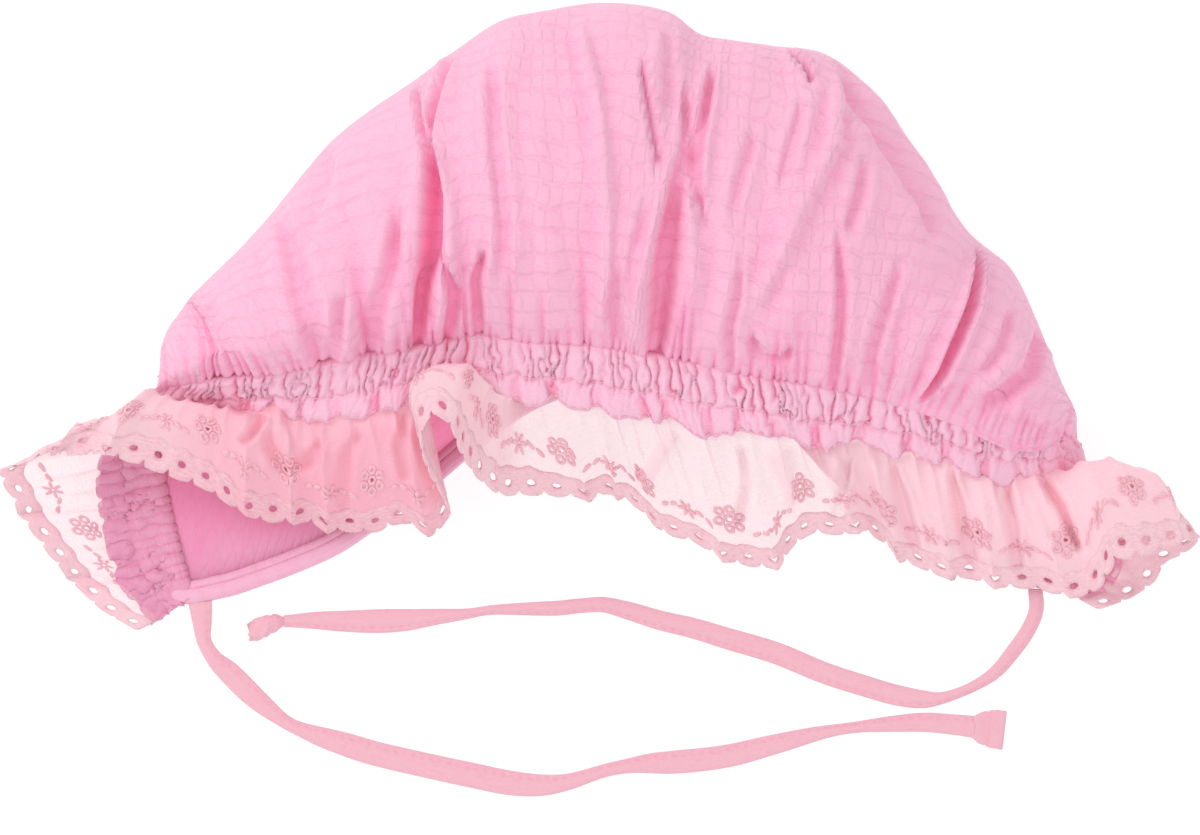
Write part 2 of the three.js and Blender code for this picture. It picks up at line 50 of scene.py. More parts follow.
# The face edge, station by station: where the crown meets the casing, and where the ruffle is sewn on.
# Columns: topX, topY, topZ, footX, footY, footZ
FACE = (
    (-107.4, -74.1, 0, -116.5, -80.3, 0),
    (-110.5, -63.7, 0, -125.6, -68.9, 0),
    (-113.1, -53.3, 0, -129.2, -55.9, 0),
    (-115.2, -42.9, 0.4, -131, -46, 1),
    (-117.8, -33.8, 4, -130.8, -37.7, 6),
    (-118.3, -26, 12, -127.1, -32.5, 12),
    (-114.7, -20, 19, -119.9, -28.6, 15),
    (-104.3, -17.9, 26, -105.6, -25.2, 18),
    (-84.8, -15.9, 32, -84.8, -26.5, 25),
    (-64.7, -12, 36, -66.6, -27.8, 31),
    (-45, -8.8, 38, -47.1, -22.9, 35),
    (-32.2, -6, 39, -31.5, -21.6, 36),
    (-19.2, -7.8, 40, -18.5, -22.9, 36),
    (-1.8, -8.8, 40, -0.3, -25.7, 36),
    (10.9, -10.9, 40, 12.7, -28.3, 35),
    (22.1, -13, 40, 25.7, -30.2, 35),
    (42.1, -17.4, 39, 43.9, -32.8, 34),
    (53.8, -19, 38, 55.6, -34.3, 33),
    (66.6, -21.3, 36, 67.3, -34.3, 31),
    (80.3, -23.4, 34, 81.6, -37.7, 29),
    (97.2, -27.6, 30, 97.2, -42.4, 25),
    (111.5, -31.5, 25, 111.5, -42.9, 18),
    (121.9, -32, 17, 124.5, -43.5, 12),
    (125.8, -37.7, 8, 133, -50, 7),
    (124.5, -46.8, 2.5, 136, -57.5, 3),
    (121.9, -55.9, 0.4, 135.5, -65, 1),
    (119.9, -63.7, 0, 131.5, -72, 0),
    (115.4, -68.9, 0, 126, -74.6, 0),
)

# The crown's sections, left to right. Columns: station, outX, outY, height, puff over the casing
CROWN = (
    (5.2, -115.6, -24.2, 13.2, 0),
    (5.6, -113.6, -18.2, 16.6, 0),
    (6.3, -113.9, -7.8, 27, 0),
    (7, -108.2, 2.3, 37, 1),
    (7.5, -105.6, 5.5, 44, 1),
    (8.1, -95.9, 14.8, 48, 1),
    (8.6, -83.2, 28.6, 52, 1),
    (9.2, -69.2, 45.5, 55, 1),
    (9.9, -47.1, 61.6, 57, 1),
    (10.7, -37.7, 68.4, 59, 1),
    (11.6, -25.5, 76.2, 60, 1),
    (12.4, -14.6, 78.5, 60, 1),
    (13.2, -0.3, 80.6, 60, 1),
    (13.6, 17.4, 78.3, 60, 1),
    (14, 25.7, 72.5, 59, 1),
    (15, 33.5, 71, 59, 1),
    (15.8, 45.2, 69.4, 58, 1),
    (16.7, 57.5, 67.6, 57, 1),
    (17.5, 68.9, 59.3, 55, 1),
    (18.2, 81.6, 42.4, 52, 1.5),
    (18.8, 94.6, 22.1, 48, 2),
    (19.6, 106.3, 11.7, 44, 3),
    (20.4, 113.1, -1.8, 39, 5),
    (21.3, 119.6, -17.7, 31, 4),
    (21.9, 123.5, -26.5, 20, 0),
    (22.4, 122.2, -34.6, 12.4, 0),
)

# The crown's lower edge: along the casing at either end, and along the nape between. Columns: x, y
LOW_LEFT_STATIONS = (4.75, 3.4, 1.9, 0.5)
LOW_NAPE = (
    (-99, -68.6), (-88.7, -65.3), (-80.2, -62.1), (-70.3, -57.6), (-60.3, -50.9), (-47.5, -41.6),
    (-34.5, -30.7), (-21, -21), (-8.3, -15.7), (4, -12.6), (15.4, -11.5), (27.1, -13.2), (39.8, -18.6),
    (52.3, -27.5), (62.9, -38.8), (73.9, -47.9), (84.9, -53.2), (100.3, -59.6),
)
LOW_RIGHT_STATIONS = (26.4, 25.6, 24.5, 23.1)

# A crown section's own shape. Columns: share of the way, level
RISING = ((0.012, 0.08), (0.075, 0.4), (0.27, 0.95))
FALLING = ((0.6, 0.96), (0.86, 0.74), (1, 0.36))
UNDER = ((0.04, 0.1), (0.14, 0), (0.4, 0))

# The ruffle's ribs. Columns: station, edgeX, edgeY, edgeZ, bulgeX, bulgeY, bulgeZ
RIBS = (
    (0, -120.4, -81.8, 1, 0, 0, 0),
    (0.5, -129, -76.5, 2, 0, 0, 0.5),
    (1, -136, -70, 5, 0, 0, 0),
    (1.6, -142.7, -62.2, 8, 0, 0, 0),
    (2.2, -147.7, -55, 11, 0, 0, 0),
    (3, -151.8, -48.1, 14, 0, 0, 0),
    (3.7, -154.4, -43.4, 16, 0, 0, 0),
    (4.4, -155.2, -39.5, 18, 0, 2, 2),
    (4.9, -150.5, -37.2, 20, 0, 4, 6),
    (5.3, -143.8, -35.6, 22, 0, 5, 9),
    (5.8, -136.8, -34.8, 23, 0, 7, 12),
    (6.2, -129.7, -35.6, 24, 0, 8, 14),
    (6.6, -119.9, -37.7, 24, 0, 9, 14),
    (7, -110.8, -41.3, 22, 0, 8, 14),
    (7.35, -102.2, -44.7, 19, 0, 7, 13),
    (7.7, -93.9, -49.9, 15, 0, 5, 11),
    (8, -85.5, -53.3, 12, 0, 3, 9),
    (8.35, -77.5, -53.3, 12, 0, 0, 5),
    (8.7, -69.2, -55.6, 9, 0, 0, 5),
    (9.1, -59.5, -56.2, 9, 0, 0, 6),
    (9.45, -51, -53.3, 12, 0, 0, 5),
    (9.75, -43.9, -55.9, 10, 0, 0, 3),
    (9.95, -40.6, -52.8, 12, 0, 1, 3),
    (10.15, -41.9, -46.8, 20, -4, 4, 7),
    (10.35, -46, -38.2, 32, -7, 8, 10),
    (10.55, -46.8, -29.4, 42, -8, 9, 11),
    (10.75, -42.9, -25, 46, -5, 10, 10),
    (10.95, -38.5, -28.3, 44, 0, 10, 9),
    (11.15, -35.6, -35.6, 34, 1, 10, 10),
    (11.35, -31.5, -41.9, 24, 0, 9, 9),
    (11.6, -25.5, -45.5, 15, 0, 7, 8),
    (11.9, -17.2, -46.5, 11, 0, 5, 7),
    (12.3, -9.4, -47.3, 9, 0, 1, 6),
    (12.7, -1, -47, 9, 0, 0, 6),
    (13, 4.5, -46.8, 10, 0, 0, 6),
    (13.3, 9, -50.5, 9, 0, 0, 5),
    (13.55, 15.3, -56.2, 7, 0, 0, 5),
    (14, 23.1, -58.8, 5, 0, 0, 5),
    (14.6, 30.4, -61.9, 4, 0, 0, 5),
    (15.2, 38.2, -65.3, 3, 0, 0, 5),
    (15.7, 46, -64.5, 4, 0, 0, 6),
    (16, 48.9, -60.8, 8, 0, 0, 6),
    (16.3, 54.9, -56.4, 13, 0, 0, 5),
    (16.8, 62.7, -56.2, 13, 0, 0, 4),
    (17.3, 67.9, -54.9, 14, 0, 0, 4),
    (17.8, 72.5, -58.8, 10, 0, 0, 4),
    (18.3, 79, -63.7, 8, 0, 0, 4),
    (18.8, 85.5, -66.8, 7, 0, 0, 4),
    (19.3, 92.8, -67.9, 6, 0, 0, 4),
    (19.9, 101.1, -69.2, 6, 0, 0, 5),
    (20.4, 110.2, -70.5, 6, 0, 0, 6),
    (20.9, 119.3, -72, 6, 0, 0, 6),
    (21.3, 127.1, -71.5, 9, 0, 2, 8),
    (21.6, 130.5, -66.8, 14, 0, 8, 13),
    (21.9, 132.9, -62.7, 18, 1, 12, 14),
    (22.2, 138.8, -61.9, 18, 2, 14, 13),
    (22.5, 145.9, -60.1, 15, 3, 14, 12),
    (22.8, 151.6, -58.5, 12, 2, 13, 10),
    (23.2, 155.2, -56.7, 8, 0, 10, 8),
    (23.8, 151.1, -60.8, 4, 0, 5, 4),
    (24.4, 146.1, -63.7, 2.5, 0, 1, 2),
    (25, 143.3, -68.9, 1.5, 0, 0, 0.5),
    (25.6, 138.8, -72.5, 1, 0, 0, 0),
    (26.2, 134.2, -74.6, 1, 0, 0, 0),
    (27, 128.9, -76.4, 1, 0, 0, 0),
)
BULGE_SHARES = (0.25, 0.6)
BULGE_FILL = 0.8

# The ties' routes over the surface, from the corner to the free end. Columns: x, y
LEFT_TIE = (
    (-104.2, -74.4), (-103.7, -79.6), (-103.2, -84.5), (-100.6, -89.2), (-96.5, -93.1), (-90.7, -98.8),
    (-86.1, -102.7), (-81.1, -106.3), (-74.9, -108.9), (-66.8, -111.5), (-59, -113.9), (-47.1, -116.7),
    (-35.1, -119.3), (-23.1, -121.7), (-15.1, -122.2), (-8.8, -121.4), (2.3, -118.1), (10.9, -116.7),
    (19.5, -116.2), (32.5, -114.7), (45.5, -111.5), (58.2, -108.4), (66.8, -107.1), (75.7, -106.3),
    (84.2, -105.9), (92.8, -106.6), (97.2, -107.1),
)
RIGHT_TIE = (
    (112.9, -71.2), (113.1, -76.7), (111, -81.9), (107.4, -87.1), (102.2, -93.1), (95.4, -97.2),
    (88.4, -99.6), (84.2, -99.9), (77.2, -98.9), (66.8, -95.9), (58.2, -93.1), (45.5, -87.9),
    (32.5, -84), (23.9, -81.4), (15.1, -79.3), (6.5, -76.7), (0.5, -75.3), (-5.5, -75.6),
    (-11.2, -76.2), (-19.2, -76.4), (-28.6, -76.7), (-35.1, -77.7), (-43.2, -78.5), (-51, -79.3),
    (-59, -79.6), (-66.8, -79.6), (-74.9, -79.4), (-82.4, -79.6),
)

# How wide each tie looks as it turns on its way. Columns: share of the way, width
LEFT_WIDTHS = (
    (0, 6.4), (0.06, 4.4), (0.09, 3.2), (0.16, 6.4), (0.23, 5), (0.27, 2.8), (0.34, 6.3), (0.5, 6.6),
    (0.56, 5), (0.62, 2.8), (0.68, 6.3), (0.76, 5.8), (0.83, 2.3), (0.9, 4.8), (1, 5.8),
)
RIGHT_WIDTHS = (
    (0, 3.8), (0.12, 4), (0.2, 2.3), (0.28, 5.4), (0.42, 5.8), (0.54, 5), (0.6, 3.8), (0.68, 4),
    (0.76, 2), (0.87, 6.6), (0.95, 5), (1, 2.8),
)

# The ties' free ends. Columns: share of the way, share of the width, share of the thickness
TAB_RINGS = (
    (0, 0.56, 0.8), (0.2, 0.78, 0.85), (0.5, 0.92, 0.7), (0.56, 0.96, 0.65), (0.62, 0.98, 1), (0.95, 1, 1),
    (1, 0.96, 0.7),
)
KNOT_RINGS = (
    (0, 0.42, 0.42), (0.08, 0.4, 0.5), (0.25, 0.66, 0.85), (0.5, 0.82, 0.95), (0.8, 0.95, 0.8),
    (1, 0.72, 0.45),
)



class Hold(Enum):
    """How a sheet of the hat's cloth is held."""

    GATHERED = "gathered"
    FOLDED = "folded"


def clamp01(value: np.ndarray) -> np.ndarray:
    """Keeps values from 0 to 1."""
    return np.clip(value, 0.0, 1.0)


def smoothstep(start: float, stop: float, value: np.ndarray) -> np.ndarray:
    """Eases from 0 at start to 1 at stop.

    Args:
        start: where the step starts.
        stop: where it is complete.
        value: where to read it.

    Returns:
        The step's height at each value.
    """
    share = clamp01((np.asarray(value, float) - start) / (stop - start))
    return share * share * (3 - 2 * share)


def window(start: float, full: float, fading: float, stop: float, value: np.ndarray) -> np.ndarray:
    """Eases from 0 to 1 and back to 0.

    Args:
        start: where it starts to rise.
        full: where it reaches 1.
        fading: where it starts to fall.
        stop: where it is 0 again.
        value: where to read it.

    Returns:
        Its height at each value.
    """
    return smoothstep(start, full, value) * (1 - smoothstep(fading, stop, value))


def unit(vectors: np.ndarray) -> np.ndarray:
    """Vectors of the same direction and length 1."""
    return vectors / np.maximum(np.linalg.norm(vectors, axis=-1, keepdims=True), 1e-9)


def arc_lengths(points: np.ndarray) -> np.ndarray:
    """The distance along a line to each of its points."""
    return np.concatenate(([0], np.cumsum(np.linalg.norm(np.diff(points, axis=0), axis=1))))


def squarer(wave: np.ndarray, power: float) -> np.ndarray:
    """A wave from -1 to 1 with its round turns made squarer by a power under 1."""
    return np.sign(wave) * np.abs(wave) ** power


def ripple(along: np.ndarray, size: float, seed: float) -> np.ndarray:
    """An uneven wave, from about -1 to 1, that never quite repeats.

    Args:
        along: places in millimetres.
        size: the length of its main wave.
        seed: chooses the wave.

    Returns:
        The wave at each place.
    """
    turn = 2 * math.pi * np.asarray(along, float) / size
    first = np.sin(turn + seed)
    second = np.sin(turn * 0.618 + 2.3 * seed + 1)
    third = np.sin(turn * 1.71 + 5.1 * seed)
    return 0.5 * first + 0.3 * second + 0.2 * third


def drift(x: np.ndarray, y: np.ndarray, size: float, seed: float) -> np.ndarray:
    """A soft uneven relief over a plane, from about -1 to 1.

    Args:
        x: first place in millimetres.
        y: second place in millimetres.
        size: the usual distance between its humps.
        seed: chooses the relief.

    Returns:
        The relief at each place.
    """
    first = ripple(x + 0.35 * y, size, seed) * ripple(y - 0.2 * x, size, seed + 3.7)
    second = ripple(0.8 * x - 0.6 * y, size * 0.7, seed + 1.3)
    return 0.65 * first + 0.35 * second


class SmoothLine:
    """A centripetal Catmull-Rom curve through points, as the hat's own solids use."""

    nothing = 1e-4

    def __init__(self, points: np.ndarray) -> None:
        """Keeps the points with one more beyond each end.

        Args:
            points: the points that the curve passes through.
        """
        rows = np.asarray(points, float)
        ends = (2 * rows[:1] - rows[1:2], rows, 2 * rows[-1:] - rows[-2:-1])
        self.points = np.vstack(ends)
        self.count = len(rows)

    def at(self, share: np.ndarray) -> np.ndarray:
        """Points of the curve.

        Args:
            share: shares of the way from the first point to the last, by number of points.

        Returns:
            One point for each share.
        """
        place = clamp01(np.atleast_1d(np.asarray(share, float))) * (self.count - 1)
        whole = np.minimum(place.astype(int), self.count - 2)
        t = (place - whole)[:, None]
        p0, p1, p2, p3 = (self.points[whole + k] for k in range(4))
        gaps = [np.sqrt(np.linalg.norm(b - a, axis=1))[:, None] for a, b in ((p0, p1), (p1, p2), (p2, p3))]
        d1 = np.where(gaps[1] < self.nothing, 1.0, gaps[1])
        d0, d2 = (np.where(gap < self.nothing, d1, gap) for gap in (gaps[0], gaps[2]))
        m1 = ((p1 - p0) / d0 - (p2 - p0) / (d0 + d1) + (p2 - p1) / d1) * d1
        m2 = ((p2 - p1) / d1 - (p3 - p1) / (d1 + d2) + (p3 - p2) / d2) * d1
        square = 3 * (p2 - p1) - 2 * m1 - m2
        cube = 2 * (p1 - p2) + m1 + m2
        return p1 + t * (m1 + t * (square + t * cube))


class RowReader:
    """Reads a table's columns as a smooth line at any row number."""

    def __init__(self, rows: tuple, columns: tuple, on_surface: bool = True) -> None:
        """Makes the line.

        Args:
            rows: the table.
            columns: the columns to read, or None for a column of zeros.
            on_surface: whether the last column may not fall below zero.
        """
        points = [[0.0 if c is None else row[c] for c in columns] for row in rows]
        self.line = SmoothLine(points)
        self.last = len(rows) - 1
        self.on_surface = on_surface

    def at(self, row: np.ndarray) -> np.ndarray:
        """The columns' values at row numbers.

        Args:
            row: row numbers, whole or not.

        Returns:
            One row of values for each.
        """
        values = self.line.at(np.asarray(row, float) / self.last)
        if self.on_surface:
            values[:, -1] = np.maximum(values[:, -1], 0)
        return values


TOP = RowReader(FACE, (0, 1, 2))
FOOT = RowReader(FACE, (3, 4, 5))
STATION_STEP = 0.1

# How far the crown's own edge lies beyond the casing's top line, and how much less where the line climbs
RIM_INSET = -1.1
STEEP_RIM_INSET = 0.4


def along_at(line: RowReader, station: np.ndarray) -> np.ndarray:
    """The direction of a line along the face edge at stations."""
    return unit(line.at(station + STATION_STEP) - line.at(station - STATION_STEP))


def rim_at(station: np.ndarray) -> np.ndarray:
    """The crown's own edge along the casing.

    Args:
        station: stations of the face edge.

    Returns:
        The edge's points.
    """
    top = TOP.at(station)
    back = unit(top - FOOT.at(station))
    climb = np.abs(along_at(TOP, station)[:, 2:])
    rim = top + back * (RIM_INSET + STEEP_RIM_INSET * climb)
    rim[:, 2] = np.maximum(rim[:, 2], 0)
    return rim


def low_edge() -> SmoothLine:
    """The crown's lower edge.

    Returns:
        The line from the left end of the face edge, round the nape, to the right end.
    """
    left = rim_at(np.array(LOW_LEFT_STATIONS))
    nape = np.array([(x, y, 0) for x, y in LOW_NAPE])
    right = rim_at(np.array(LOW_RIGHT_STATIONS))
    return SmoothLine(np.vstack((left, nape, right)))


class FaceLength:
    """Millimetres along the casing's middle line, counted from the left corner."""

    def __init__(self, count: int = 4000) -> None:
        """Measures the line.

        Args:
            count: how many steps it is measured in.
        """
        self.stations = np.linspace(0, len(FACE) - 1, count)
        middle = 0.5 * (TOP.at(self.stations) + FOOT.at(self.stations))
        self.lengths = arc_lengths(middle)

    def at(self, station: np.ndarray) -> np.ndarray:
        """Length at stations."""
        return np.interp(station, self.stations, self.lengths)

    def station(self, length: np.ndarray) -> np.ndarray:
        """Stations at lengths."""
        return np.interp(length, self.lengths, self.stations)


FACE_LENGTH = FaceLength()


def gather_ridge(length: np.ndarray, pitch: float, seed: float) -> np.ndarray:
    """Rounded ridges with sharp valleys between, as gathered cloth makes.

    Args:
        length: millimetres along the casing.
        pitch: the usual distance between valleys.
        seed: chooses how they wander.

    Returns:
        From 0 in a valley to 1 on a ridge.
    """
    wander = 0.45 * ripple(length, pitch * 5.3, seed) + 0.3 * ripple(length, pitch * 2.2, seed + 2)
    return np.sqrt(np.abs(np.sin(math.pi * (length + pitch * wander) / pitch)))


class GatherLines:
    """The valleys into which the elastic draws the cloth, one after another along the casing."""

    def __init__(self, pitch: float, seed: int) -> None:
        """Draws where the valleys lie, how strong they are, how far they reach and how they lean.

        Args:
            pitch: the usual millimetres between valleys.
            seed: chooses the draws.
        """
        draws = np.random.default_rng(seed)
        whole = FACE_LENGTH.lengths[-1] + 6 * pitch
        places = np.cumsum(pitch * draws.uniform(0.55, 1.45, int(2 * whole / pitch)))
        self.places = places[places < whole] - 3 * pitch
        count = len(self.places)
        self.strength = draws.uniform(0.5, 1, count)
        far = draws.uniform(14, 42, count)
        near = draws.uniform(4.5, 12, count)
        self.reach = np.where(draws.random(count) < 0.3, far, near)
        self.lean = 1.6 * ripple(self.places, 55, 4.0) + draws.uniform(-0.8, 0.8, count)

    def phase(self, length: np.ndarray, slide: np.ndarray) -> np.ndarray:
        """How many valleys lie before each place.

        Args:
            length: millimetres along the casing.
            slide: how far the valleys slant away from their places here, in millimetres.

        Returns:
            Whole numbers in the valleys, halves on the puffs between.
        """
        slanted = length + slide * (ripple(length, 36, 1.9) + 0.5 * ripple(length, 13, 5.0))
        return np.interp(slanted, self.places, np.arange(len(self.places)))

    def valley(self, length: np.ndarray, slide: np.ndarray) -> np.ndarray:
        """How deep the cloth lies in a valley, with rounded puffs between.

        Args:
            length: millimetres along the casing.
            slide: how far the valleys slant away from their places here, in millimetres.

        Returns:
            From 0 on a puff to 1 in the strongest valley.
        """
        phase = self.phase(length, slide)
        strength = self.strength[np.round(phase).astype(int)]
        return (1 - np.abs(np.sin(math.pi * phase)) ** 0.8) * strength

    def tab(self, length: np.ndarray, slide: np.ndarray) -> np.ndarray:
        """Flat box folds with narrow sunk gaps between them.

        Args:
            length: millimetres along the casing.
            slide: how far the folds slant away from their places here, in millimetres.

        Returns:
            From 0 in a gap to 1 on a fold.
        """
        return smoothstep(0.2, 0.7, np.abs(np.sin(math.pi * self.phase(length, slide))))

    def drawn(self, length: np.ndarray, seen: np.ndarray) -> tuple:
        """How the valleys run out into the cloth beyond the casing.

        Args:
            length: millimetres along the casing.
            seen: millimetres from the casing, seen from above.

        Returns:
            Depths in millimetres, and shares of painted shade in the valleys.
        """
        depth = np.zeros(length.shape)
        crease_shade = np.zeros(length.shape)
        width = 0.6 + 0.085 * np.minimum(seen, 24)
        for place, strength, reach, lean in zip(self.places, self.strength, self.reach, self.lean):
            off = np.abs(length + lean * seen / 20 - place) / width
            fade = strength * (1 - smoothstep(0.2 * reach, reach, seen))
            depth = np.maximum(depth, (1.3 + 0.055 * reach) * fade * np.exp(-off))
            # Painted shade in each valley.
            crease_shade = np.maximum(crease_shade, 0.85 * fade * (1 - smoothstep(0.25, 1.3, off)))
        return depth, crease_shade


# The gathers of the elastic's channel, and the box folds of the frill below it
CHANNEL = GatherLines(2.9, 11)
FRILL = GatherLines(9.0, 23)


def seam_wander(length: np.ndarray) -> np.ndarray:
    """How far the ruffle's seam zigzags below the casing's foot line, as its gathers pull it.

    Args:
        length: millimetres along the casing.

    Returns:
        Millimetres, none at the two corners.
    """
    whole = FACE_LENGTH.lengths[-1]
    inside = window(45, 75, whole - 60, whole - 35, length)
    return inside * (1.9 * ripple(length, 26, 0.4) + 1.3 * ripple(length, 10.5, 2.0))


# Painted shade: the duller pink that the cloth is painted where it lies in shade inside the hat
INNER_SHADE = (0.52, 0.2, 0.34)


# The part of a noise's range that its values mostly lie in
NOISE_RANGE = (0.3, 0.7)


class Wiring:
    """Adds nodes to a material's tree, and wires them as they are added."""

    def __init__(self, tree: bpy.types.NodeTree) -> None:
        """Keeps the material's tree."""
        self.tree = tree

    def feed(self, node: bpy.types.Node, inputs: dict) -> None:
        """Sets a node's inputs.

        Args:
            node: the node.
            inputs: a constant or another node's socket, by the name or number of each input.
        """
        for key, value in inputs.items():
            if isinstance(value, bpy.types.NodeSocket):
                self.tree.links.new(value, node.inputs[key])
            else:
                node.inputs[key].default_value = value

    def add(self, kind: str, inputs: dict, **settings: object) -> bpy.types.Node:
        """A new node.

        Args:
            kind: its type.
            inputs: its inputs, as feed takes them.
            settings: its own properties.

        Returns:
            The node.
        """
        made = self.tree.nodes.new("ShaderNode" + kind)
        for name, value in settings.items():
            setattr(made, name, value)
        self.feed(made, inputs)
        return made

    def attribute(self, name: str) -> bpy.types.NodeSocket:
        """A named value of the mesh's points."""
        return self.add("Attribute", {}, attribute_name=name).outputs["Fac"]

    def noise(self, place: bpy.types.NodeSocket, scale: float, detail: float) -> bpy.types.Node:
        """A noise texture, read at a place."""
        return self.add("TexNoise", {"Vector": place, "Scale": scale, "Detail": detail})

    def maths(self, operation: str, *terms: object, clamp: bool = False) -> bpy.types.NodeSocket:
        """The result of an operation on sockets or constants."""
        made = self.add("Math", dict(enumerate(terms)), operation=operation, use_clamp=clamp)
        return made.outputs["Value"]

    def mix(self, share: object, first: object, second: object, kind: str) -> bpy.types.NodeSocket:
        """A mix of two sockets or constants, of kind FLOAT or RGBA."""
        made = self.add("Mix", {"Factor": share, "A": first, "B": second}, data_type=kind)
        return made.outputs["Result"]

    def spread(self, value: object, reads: tuple, gives: tuple, **settings: object) -> bpy.types.NodeSocket:
        """Turns one range of a value into another.

        Args:
            value: the socket to read.
            reads: the lowest and the highest value that count.
            gives: what those two become.
            settings: the node's own properties.

        Returns:
            The socket with the result.
        """
        ends = {"From Min": reads[0], "From Max": reads[1], "To Min": gives[0], "To Max": gives[1]}
        return self.add("MapRange", {"Value": value, **ends}, **settings).outputs["Result"]


@dataclass(frozen=True)
class ClothFinish:
    """A finish for one of the hat's cloths: its colour, a second, deeper colour that paints shade into
    creases and hollows and gives the embroidery its darker motifs, a painted glow, weave and crinkle.
    """

    name: str
    colour: tuple
    shade_and_tone_colour: tuple
    crinkle: float = 0.0
    crinkle_size: float = 6.2
    crinkle_relief: float = 0.45 * MM
    weave: float = 0.25
    weave_pitch: float = 0.55
    weave_relief: float = 0.25 * MM
    sheerness: float = 0.0
    mottle: float = 0.06
    slub: float = 0.09
    slub_stretch: tuple = (0.5, 2.4, 1)
    sheen: float = 0.25
    roughness: float = 0.92
    painted_glow: float = 0.06

    def material(self) -> bpy.types.Material:
        """The finish as a node material.

        Returns:
            The material, which reads the piece's UV map in millimetres and its named point values.
        """
        made = bpy.data.materials.new(self.name)
        made.use_nodes = True
        shader = made.node_tree.nodes["Principled BSDF"]
        work = Wiring(made.node_tree)
        place = work.add("UVMap", {}, uv_map="UVMap").outputs["UV"]
        threads = work.add("Mapping", {"Vector": place, "Scale": self.slub_stretch}).outputs["Vector"]
        slub = work.noise(threads, 1.0, 3).outputs["Fac"]
        mottle = work.noise(place, 0.09, 5).outputs["Fac"]
        tint = work.spread(mottle, NOISE_RANGE, (-self.mottle, self.mottle))
        height = self.weave_height(work, place)
        weave = {"Strength": self.weave, "Distance": self.weave_relief, "Height": height}
        if self.crinkle > 0:
            pillow, line = self.crinkle_grid(work, place)
            pillows = {"Strength": self.crinkle, "Distance": self.crinkle_relief, "Height": pillow}
            weave["Normal"] = work.add("Bump", pillows).outputs["Normal"]
            tint = work.maths("ADD", tint, line)
        thread = work.spread(slub, NOISE_RANGE, (-self.slub, self.slub))
        # Painted shade: the point value read here deepens the colour toward the finish's second colour in
        # creases, hollows and undersides; the embroidery also uses it for its own darker motifs. Mottle and
        # slub are the cloth's own uneven tone.
        share = work.maths("ADD", work.maths("ADD", work.attribute("shade_and_tone"), tint), thread, clamp=True)
        colour = work.mix(share, (*self.colour, 1), (*self.shade_and_tone_colour, 1), "RGBA")
        inputs = {
            # Painted shade inside the hat: a point value turns the colour toward the dull inner pink.
            "Base Color": work.mix(work.attribute("painted_inner_shade"), colour, (*INNER_SHADE, 1), "RGBA"),
            "Roughness": self.roughness,
            "Specular IOR Level": 0.2,
            "Sheen Weight": self.sheen,
            "Sheen Roughness": 0.5,
            # Painted light: the cloth glows faintly in its second colour, and more where a point value
            # asks, standing in for light through the cloth.
            "Emission Color": (*self.shade_and_tone_colour, 1),
            "Emission Strength": work.maths("ADD", work.attribute("painted_light"), self.painted_glow),
            "Normal": work.add("Bump", weave).outputs["Normal"],
        }
        if self.sheerness > 0:
            clear = 1 - self.sheerness
            opacity = work.spread(slub, NOISE_RANGE, (clear - 0.03, clear + 0.05))
            inputs["Alpha"] = work.maths("ADD", opacity, work.attribute("solid"), clamp=True)
        work.feed(shader, inputs)
        return made

    def crinkle_grid(self, work: Wiring, place: bpy.types.NodeSocket) -> tuple:
        """The little pillows between the rows where the two layers of gauze are held together.

        Args:
            work: adds to the material's nodes.
            place: the place in millimetres of cloth.

        Returns:
            The sockets with the pillows' relief and with the faint darker lines between them.
        """
        noise = work.noise(place, 0.045, 3)
        wander = {0: noise.outputs["Color"], 1: (16, 10, 0), 2: place}
        moved = work.add("VectorMath", wander, operation="MULTIPLY_ADD").outputs["Vector"]
        axes = work.add("SeparateXYZ", {"Vector": moved}).outputs
        waves = []
        for axis, least in (("X", 0.5), ("Y", 0.0)):
            turn = work.maths("MULTIPLY", axes[axis], math.pi / self.crinkle_size)
            wave = work.maths("ABSOLUTE", work.maths("SINE", turn))
            waves.append(work.spread(wave, (0, 0.7), (least, 1), interpolation_type="SMOOTHSTEP"))
        pillow = work.maths("MULTIPLY", *waves)
        line = work.spread(pillow, (0, 0.9), (0.3 * self.crinkle, 0))
        patches = work.spread(noise.outputs["Fac"], (0.4, 0.62), (0.15, 1))
        shown = work.maths("MULTIPLY", line, patches)
        plain = work.attribute("plain")
        return work.mix(plain, pillow, 0.7, "FLOAT"), work.mix(plain, shown, 0, "FLOAT")

    def weave_height(self, work: Wiring, place: bpy.types.NodeSocket) -> bpy.types.NodeSocket:
        """The relief of the threads, over and under each other.

        Args:
            work: adds to the material's nodes.
            place: the place in millimetres of cloth.

        Returns:
            The socket with the relief.
        """
        wave = {"Vector": place, "Scale": 1 / self.weave_pitch / math.pi, "Distortion": 1.2, "Detail": 1}
        ways = (work.add("TexWave", wave, bands_direction=way).outputs["Fac"] for way in ("X", "Y"))
        return work.maths("ADD", *ways)


# Each finish's second colour is painted shade for its creases and hollows, and its glow is painted light: a
# faint glow that stands in for light through the cloth.
GAUZE = ClothFinish("double_gauze", (0.88, 0.47, 0.62), (0.95, 0.31, 0.53), crinkle=0.8, slub=0.32)
CASING_GAUZE = ClothFinish("gathered_gauze", (0.87, 0.53, 0.66), (0.88, 0.25, 0.43), slub=0.24, painted_glow=0.07)
HEM_GAUZE = ClothFinish("hem_gauze", (0.85, 0.46, 0.61), (0.88, 0.24, 0.42), slub=0.16)
TIE_GAUZE = ClothFinish("tie_gauze", (0.83, 0.46, 0.54), (0.84, 0.28, 0.40), slub=0.22, painted_glow=0.04)
VOILE = ClothFinish(
    "sheer_voile", (0.90, 0.67, 0.72), (0.83, 0.39, 0.48),
    sheerness=0.74, weave=0.15, mottle=0.05, slub=0.16, painted_glow=0.13,
)
